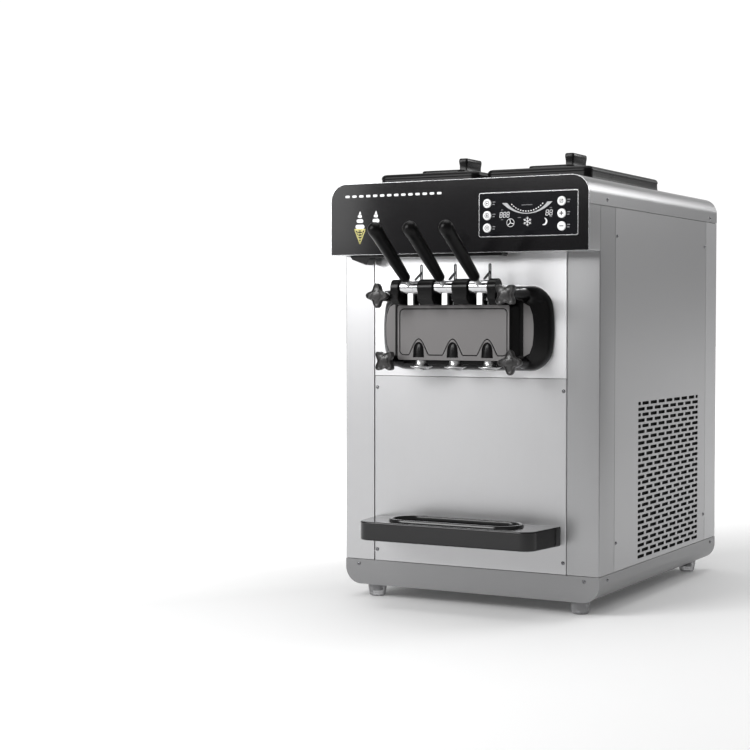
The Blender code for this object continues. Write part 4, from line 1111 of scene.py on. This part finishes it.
def make_grip(name, x, body, start):
    end, tip, neck, thin = 0.188, 0.0136, 0.0124, 0.0100
    profile = [(0.0046, start + 0.0005), (0.0070, start), (0.0084, start + 0.0006),
               (0.0092, start + 0.0022), (thin, start + 0.006)]
    run = end - 0.038 - (start + 0.006)
    for k in range(1, 11):
        t = k / 10
        profile.append((thin + (neck - thin) * t + 0.0004 * math.sin(math.pi * t),
                        start + 0.006 + run * t))
    for k in range(1, 5):
        t = k / 4
        profile.append((neck + (tip - neck) * (0.5 - 0.5 * math.cos(math.pi * t)),
                        end - 0.038 + (0.038 - tip) * t))
    for k in range(1, 9):
        a = math.pi / 2 * (1 - k / 8)
        profile.append((tip * math.sin(a), end - tip + tip * math.cos(a)))
    inner = start + 0.010
    profile += [] if profile[-1][0] < 1e-7 else [(0, end)]
    profile = [(0, inner), (0.0046, inner)] + profile
    place(in_frame(lathe(profile, steps=40), lever_frame(x)), f"lever_{name}_grip", SOFT_BLACK, body,
          stands_for=f"lever_grip_{name}", angle=50)


def make_valves():
    for name, valve in VALVES.items():
        x, y, body = valve.x, valve.y, f"valve_{name}"
        low, high = span(f"valve_piston_{name}")
        bore = 0.0087
        piston = [(0, 0.586), (0.0030, 0.586), (0.0032, 0.562), (0.0050, 0.5585), (bore - 0.001, 0.557),
                  (bore, 0.556), (bore, 0.5505), (bore - 0.0012, 0.5500), (bore - 0.0012, 0.5475),
                  (bore, 0.5470), (bore, 0.4990), (bore - 0.0012, 0.4985), (bore - 0.0012, 0.4960),
                  (bore, 0.4955), (bore, 0.4850), (bore - 0.001, 0.4840), (0.0040, low.z + 0.0003),
                  (0, low.z)]
        place(lathe(piston, (x, y, 0)), f"valve_{name}_piston", CHROME, body,
              stands_for=f"valve_piston_{name}", angle=30)
        seals = [lathe([(bore - 0.0010, z + 0.0010), (bore - 0.0001, z + 0.0008), (bore + 0.0001, z),
                        (bore - 0.0001, z - 0.0008), (bore - 0.0010, z - 0.0010)], (x, y, 0))
                 for z in (0.54875, 0.49725)]
        place(merged(seals), f"valve_{name}_seals", RUBBER, body)
        legs, top = 0.0017, high.z - 0.0031
        path = [(x - legs, y, 0.582 + (top - 0.582) * k / 8) for k in range(9)]
        path += [(x - legs * math.cos(a), y, top + legs * math.sin(a))
                 for a in (math.pi * k / 8 for k in range(1, 8))]
        path += [(x + legs, y, 0.582 + (top - 0.582) * (8 - k) / 8) for k in range(9)]
        place(tube(path, 0.0013), f"valve_{name}_rod", DARK_METAL, body, angle=60)
        cross_z = PIVOT.z - 0.0018
        cross = lathe([(0, x - 0.0105), (0.0020, x - 0.0105), (0.0024, x - 0.0100),
                       (0.0024, x + 0.0100), (0.0020, x + 0.0105), (0, x + 0.0105)],
                      (0, y, cross_z), "x", 24)
        place(cross, f"valve_{name}_cross_pin", CHROME, body)
        brace = softened([(y + 0.001, PIVOT.z + 0.0310), (y + 0.001, PIVOT.z + 0.0265),
                          (y - 0.0250, PIVOT.z + 0.0130), (y - 0.0262, PIVOT.z + 0.0158)], 0.0006, 2)
        place(slab([brace], x - 0.0016, x + 0.0016, "x"), f"valve_{name}_brace", DARK_METAL, body,
              bevel=0.0004)
        nut_y = y - 0.0078
        nut = slab([circle(x, nut_y, 0.0040, 6), circle(x, nut_y, 0.0012, 16)], 0.5875, 0.5935, "z")
        place(nut, f"valve_{name}_nut", SATIN, body, bevel=0.0005, angle=30)
        place(lathe([(0, 0.5560), (0.0011, 0.5560), (0.0011, 0.5960), (0, 0.5965)], (x, nut_y, 0),
                    steps=16), f"valve_{name}_guide", SATIN, body)


def make_nozzles():
    for name, valve in VALVES.items():
        low, high = span(f"nozzle_cap_{name}")
        x, y, top, foot = valve.x, valve.y, high.z, low.z
        profile = [(0.0086, top), (0.0112, top), (0.0115, top - 0.0004), (0.0115, 0.4702),
                   (0.0122, 0.4672), (0.0150, 0.4639), (0.0208, 0.4633), (0.0214, 0.4629),
                   (0.0215, 0.4625), (0.0212, 0.4619), (0.0204, 0.4616), (0.0150, 0.4592),
                   (0.0135, 0.4582), (0.0129, foot + 0.0008), (0.0123, foot), (0.0074, foot),
                   (0.0070, foot + 0.0004), (0.0070, 0.4640), (0.0086, 0.4690)]
        ring = lathe(profile, (x, y, 0), steps=48)
        points = []
        for i in range(72):
            a = 2 * math.pi * i / 72
            r = 0.0050 + 0.0013 * math.cos(6 * a)
            points.append((x + r * math.cos(a), y + r * math.sin(a)))
        insert = slab([circle(x, y, 0.0071, 48), points], foot + 0.0006, foot + 0.0030, "z")
        place(merged([ring, insert]), f"nozzle_{name}_cap", SATIN, stands_for=f"nozzle_cap_{name}",
              angle=35)


# ---- lids and tray ----
def make_lids():
    for name, side in (("left", -1), ("right", 1)):
        low, high = span(f"hopper_lid_{name}")
        body = f"lid_{name}"
        centre = side * abs(middle(f"hopper_{name}").x)
        seat = span(f"hopper_{name}")[1].z + 0.0003
        edge, shelf = 0.8415, 0.8510
        outline = rounded(low.x, low.y, high.x, high.y, 0.016, 10)
        profile = [(0.0035, seat + 0.0002), (0.0012, seat + 0.0004), (0.0004, seat + 0.0016),
                   (0.0010, seat + 0.0050), (0.0012, edge - 0.0105), (0.0003, edge - 0.0096),
                   (0, edge - 0.0084), (0.0004, edge - 0.0060), (0.0014, edge - 0.0040),
                   (0.0031, edge - 0.0022), (0.0055, edge - 0.0009), (0.0085, edge - 0.0002),
                   (0.0110, edge), (0.0140, edge - 0.0003)]
        lid = place(stacked(outline, profile), f"hopper_lid_{name}_cover", SOFT_BLACK, body,
                    stands_for=f"hopper_lid_{name}", angle=50)
        hopper_low, hopper_high = span(f"hopper_{name}")
        wall = 0.0120
        rim = rounded(hopper_low.x + wall, hopper_low.y + wall, hopper_high.x - wall,
                      hopper_high.y - wall, 0.014, 8)
        hollow = slab([rim], seat - 0.02, edge - 0.006, "z")
        cut(lid, [hollow])
        outer = rounded(hopper_low.x + wall - 0.0012, hopper_low.y + wall - 0.0012,
                        hopper_high.x - wall + 0.0012, hopper_high.y - wall + 0.0012, 0.0152, 8)
        skirt = stacked(outer, [(0, seat + 0.002), (0, low.z + 0.001), (0.0006, low.z),
                                (0.0022, low.z), (0.0028, low.z + 0.001), (0.0028, seat + 0.002)],
                        hollow=True)
        place(skirt, f"hopper_lid_{name}_skirt", SOFT_BLACK, body, angle=50)
        panel = rounded(centre - 0.048, 0.118, centre + 0.048, 0.382, 0.014, 8)
        rise = [(-0.0030, edge - 0.0020), (-0.0012, edge - 0.0004), (-0.0002, edge + 0.0014),
                (0, shelf - 0.0030), (0.0006, shelf - 0.0012), (0.0022, shelf - 0.0002),
                (0.0045, shelf), (0.0090, shelf + 0.0001)]
        place(stacked(panel, rise), f"hopper_lid_{name}_panel", SOFT_BLACK, body,
              angle=50)
        grip = rounded(centre - 0.010, 0.215, centre + 0.010, 0.287, 0.0042, 6)
        waist = [(-0.0014, shelf - 0.0008), (-0.0004, shelf + 0.0004), (0.0006, shelf + 0.0030),
                 (0.0016, shelf + 0.0100), (0.0014, shelf + 0.0170), (0.0004, shelf + 0.0220),
                 (0, shelf + 0.0260), (0.0002, high.z - 0.0030), (0.0012, high.z - 0.0010),
                 (0.0028, high.z - 0.0001), (0.0036, high.z)]
        place(stacked(grip, waist), f"hopper_lid_{name}_knob", BLACK, body,
              angle=60)


def obround(inset):
    """The raised rim of the drip tray, moved inwards by inset."""
    length, width = 0.1375, 0.044
    return rounded(-length + inset, TRAY_MIDDLE - width + inset, length - inset,
                   TRAY_MIDDLE + width - inset, width - inset, 16)


def make_tray():
    low, high = span("drip_tray")
    wall, front, radius = high.x, 0.184, 0.026
    back = -0.0006
    outline = ([(-wall, back)] + arc(-front + radius, low.y + radius, radius, 180, 270, 12)
               + arc(front - radius, low.y + radius, radius, 270, 360, 12) + [(wall, back)])
    deck = high.z - 0.005
    profile = [(0.0045, low.z), (0.0018, low.z + 0.0004), (0.0004, low.z + 0.0016),
               (0, low.z + 0.0040), (0, deck - 0.0032), (0.0003, deck - 0.0018),
               (0.0012, deck - 0.0006), (0.0028, deck)]
    tray = place(stacked(outline, profile), "drip_tray_shell", TRAY_BLACK, "tray",
                 stands_for="drip_tray", angle=50)
    cut(tray, [slab([obround(0.0065)], low.z + 0.003, high.z + 0.01, "z")])
    rim = [(0.0008, deck - 0.001), (-0.0010, deck + 0.0001), (-0.0002, deck + 0.0010),
           (0.0004, high.z - 0.0022), (0.0009, high.z - 0.0008), (0.0022, high.z),
           (0.0056, high.z), (0.0070, high.z - 0.0008), (0.0078, high.z - 0.0024),
           (0.0082, deck - 0.006), (0.0090, low.z + 0.004), (0.0060, low.z + 0.004),
           (0.0060, deck - 0.006)]
    place(stacked(obround(0), rim, hollow=True), "drip_tray_rim", TRAY_BLACK, "tray",
          angle=60)
    hook = softened([(-0.004, 0.146), (0.010, 0.146), (0.010, 0.151), (0.007, 0.153),
                     (-0.004, 0.153)], 0.0008, 3)
    hooks = [slab([hook], x - 0.009, x + 0.009, "x") for x in (-0.15, 0.15)]
    place(merged(hooks), "drip_tray_hooks", TRAY_BLACK, "tray", bevel=0.0006)
    plate_top = high.z - 0.010
    slots = []
    for i in range(17):
        x = (i - 8) * 0.0130
        reach = 0.026 if abs(x) < 0.085 else 0.018
        slots.append(rounded(x - 0.0026, TRAY_MIDDLE - reach, x + 0.0026, TRAY_MIDDLE + reach, 0.0025, 4))
    place(slab([obround(0.0094)] + slots, plate_top - 0.003, plate_top, "z"), "drip_insert_grid",
          SOFT_BLACK, "tray_insert", stands_for="drip_insert", bevel=0.0006, angle=50)
    feet = [lathe([(0, low.z + 0.0035), (0.0050, low.z + 0.0035), (0.0060, low.z + 0.0045),
                   (0.0066, plate_top - 0.002), (0, plate_top - 0.002)], (side * 0.122, TRAY_MIDDLE, 0))
            for side in (-1, 1)]
    place(merged(feet), "drip_insert_feet", SOFT_BLACK, "tray_insert")


# ---- carried over from the frame ----
def finish_inner_parts():
    """CAD pieces whose shape is right: they keep their meshes and get their real finishes."""
    finishes = {STEEL_LONG: ("hopper_left", "hopper_right", "freezing_cylinder_left",
                             "freezing_cylinder_right"),
                CHROME: ("pivot_pin", "motor_pulley"),
                CAST: ("gearbox", "gearbox_pulley"),
                WHITE: ("beater_left", "beater_right"),
                RUBBER: ("drive_belt",),
                PAINT: ("compressor", "drive_motor", "condenser_fan"),
                FINS: ("condenser",)}
    for material, nodes in finishes.items():
        for node in nodes:
            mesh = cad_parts[node].data
            mesh.materials.clear()
            mesh.materials.append(material)


# ---- studio ----
def make_floor():
    """A white floor that glows more and more behind the machine, to its left."""
    shape = bmesh.new()
    bmesh.ops.create_grid(shape, x_segments=2, y_segments=2, size=30)
    floor = added("floor", mesh_of(shape, "floor"))
    floor.location = (0, 0, -0.0005)
    finish = surface("studio_floor", (0.88, 0.88, 0.88), 0.7, 0.0, 0.01, 0.5, (3, 3, 3), 0.03)
    tree = finish.node_tree
    here = shader_node(tree, "TexCoord", {}).outputs["Object"]
    far = shader_node(tree, "VectorMath", {0: here, 1: (-0.85, 0.53, 0)}, operation="DOT_PRODUCT")
    glow = shader_node(tree, "MapRange", {"From Min": 0.2, "From Max": 1.9, "To Min": 0.05,
                                          "To Max": 0.95, "Value": far.outputs["Value"]})
    feed(tree, tree.nodes["Principled BSDF"], {"Emission Strength": glow.outputs["Result"],
                                               "Emission Color": (1, 1, 1, 1)})
    floor.data.materials.append(finish)


def make_sky():
    """A grey room with a bright patch behind the machine, as the camera sees it."""
    world = bpy.data.worlds.new("studio")
    bpy.context.scene.world = world
    world.use_nodes = True
    tree = world.node_tree
    direction = shader_node(tree, "TexCoord", {}).outputs["Generated"]
    towards = shader_node(tree, "VectorMath", {0: direction, 1: (-0.49, 0.872, 0)},
                          operation="DOT_PRODUCT")
    bright = shader_node(tree, "MapRange", {"From Min": 0.80, "From Max": 0.95, "To Min": 0.30,
                                            "To Max": 1.05, "Value": towards.outputs["Value"]},
                         interpolation_type="SMOOTHSTEP")
    feed(tree, tree.nodes["Background"], {"Strength": bright.outputs["Result"],
                                          "Color": (1, 1, 1, 1)})


def make_lights():
    for name, where, aim, size, power in (
            ("key", (-1.1, -2.5, 1.80), (0, -0.2, 0.60), 1.5, 58),
            ("strip", (-1.80, -2.30, 1.15), (0, -0.2, 0.80), 0.80, 11),
            ("side", (1.9, 2.6, 2.0), (0.27, 0.2, 0.6), 1.4, 34),
            ("top", (0, 0.0, 2.8), (0, 0.0, 0.8), 2.2, 30)):
        light = bpy.data.lights.new(name, "AREA")
        light.shape = "RECTANGLE"
        light.size = light.size_y = size
        light.energy = power
        lamp = added(name, light)
        lamp.location = where
        lamp.rotation_euler = (Vector(aim) - Vector(where)).to_track_quat("-Z", "Y").to_euler()
        lamp.visible_camera = False


def make_camera():
    lens = bpy.data.cameras.new("camera")
    lens.lens = 79.986
    lens.sensor_width = 36
    camera = added("camera", lens)
    down, heading = 1.9104, 29.2491
    camera.location = (1.40420, FRONT - 2.87135, 0.55205)
    camera.rotation_euler = (math.radians(90 - down), 0, math.radians(heading))
    bpy.context.scene.camera = camera
    bpy.context.scene.view_settings.view_transform = "Standard"


for make in (make_camera, make_floor, make_sky, make_lights, make_base, make_feet, make_cover,
             make_posts, make_front_panels, make_side_panels, make_rear, make_screws, make_header,
             make_lamp, make_display, make_keys, make_decoration, make_flange, make_block,
             make_side_faces, make_lugs, make_studs, make_knobs, make_levers, make_valves,
             make_nozzles, make_lids, make_tray, finish_inner_parts):
    make()
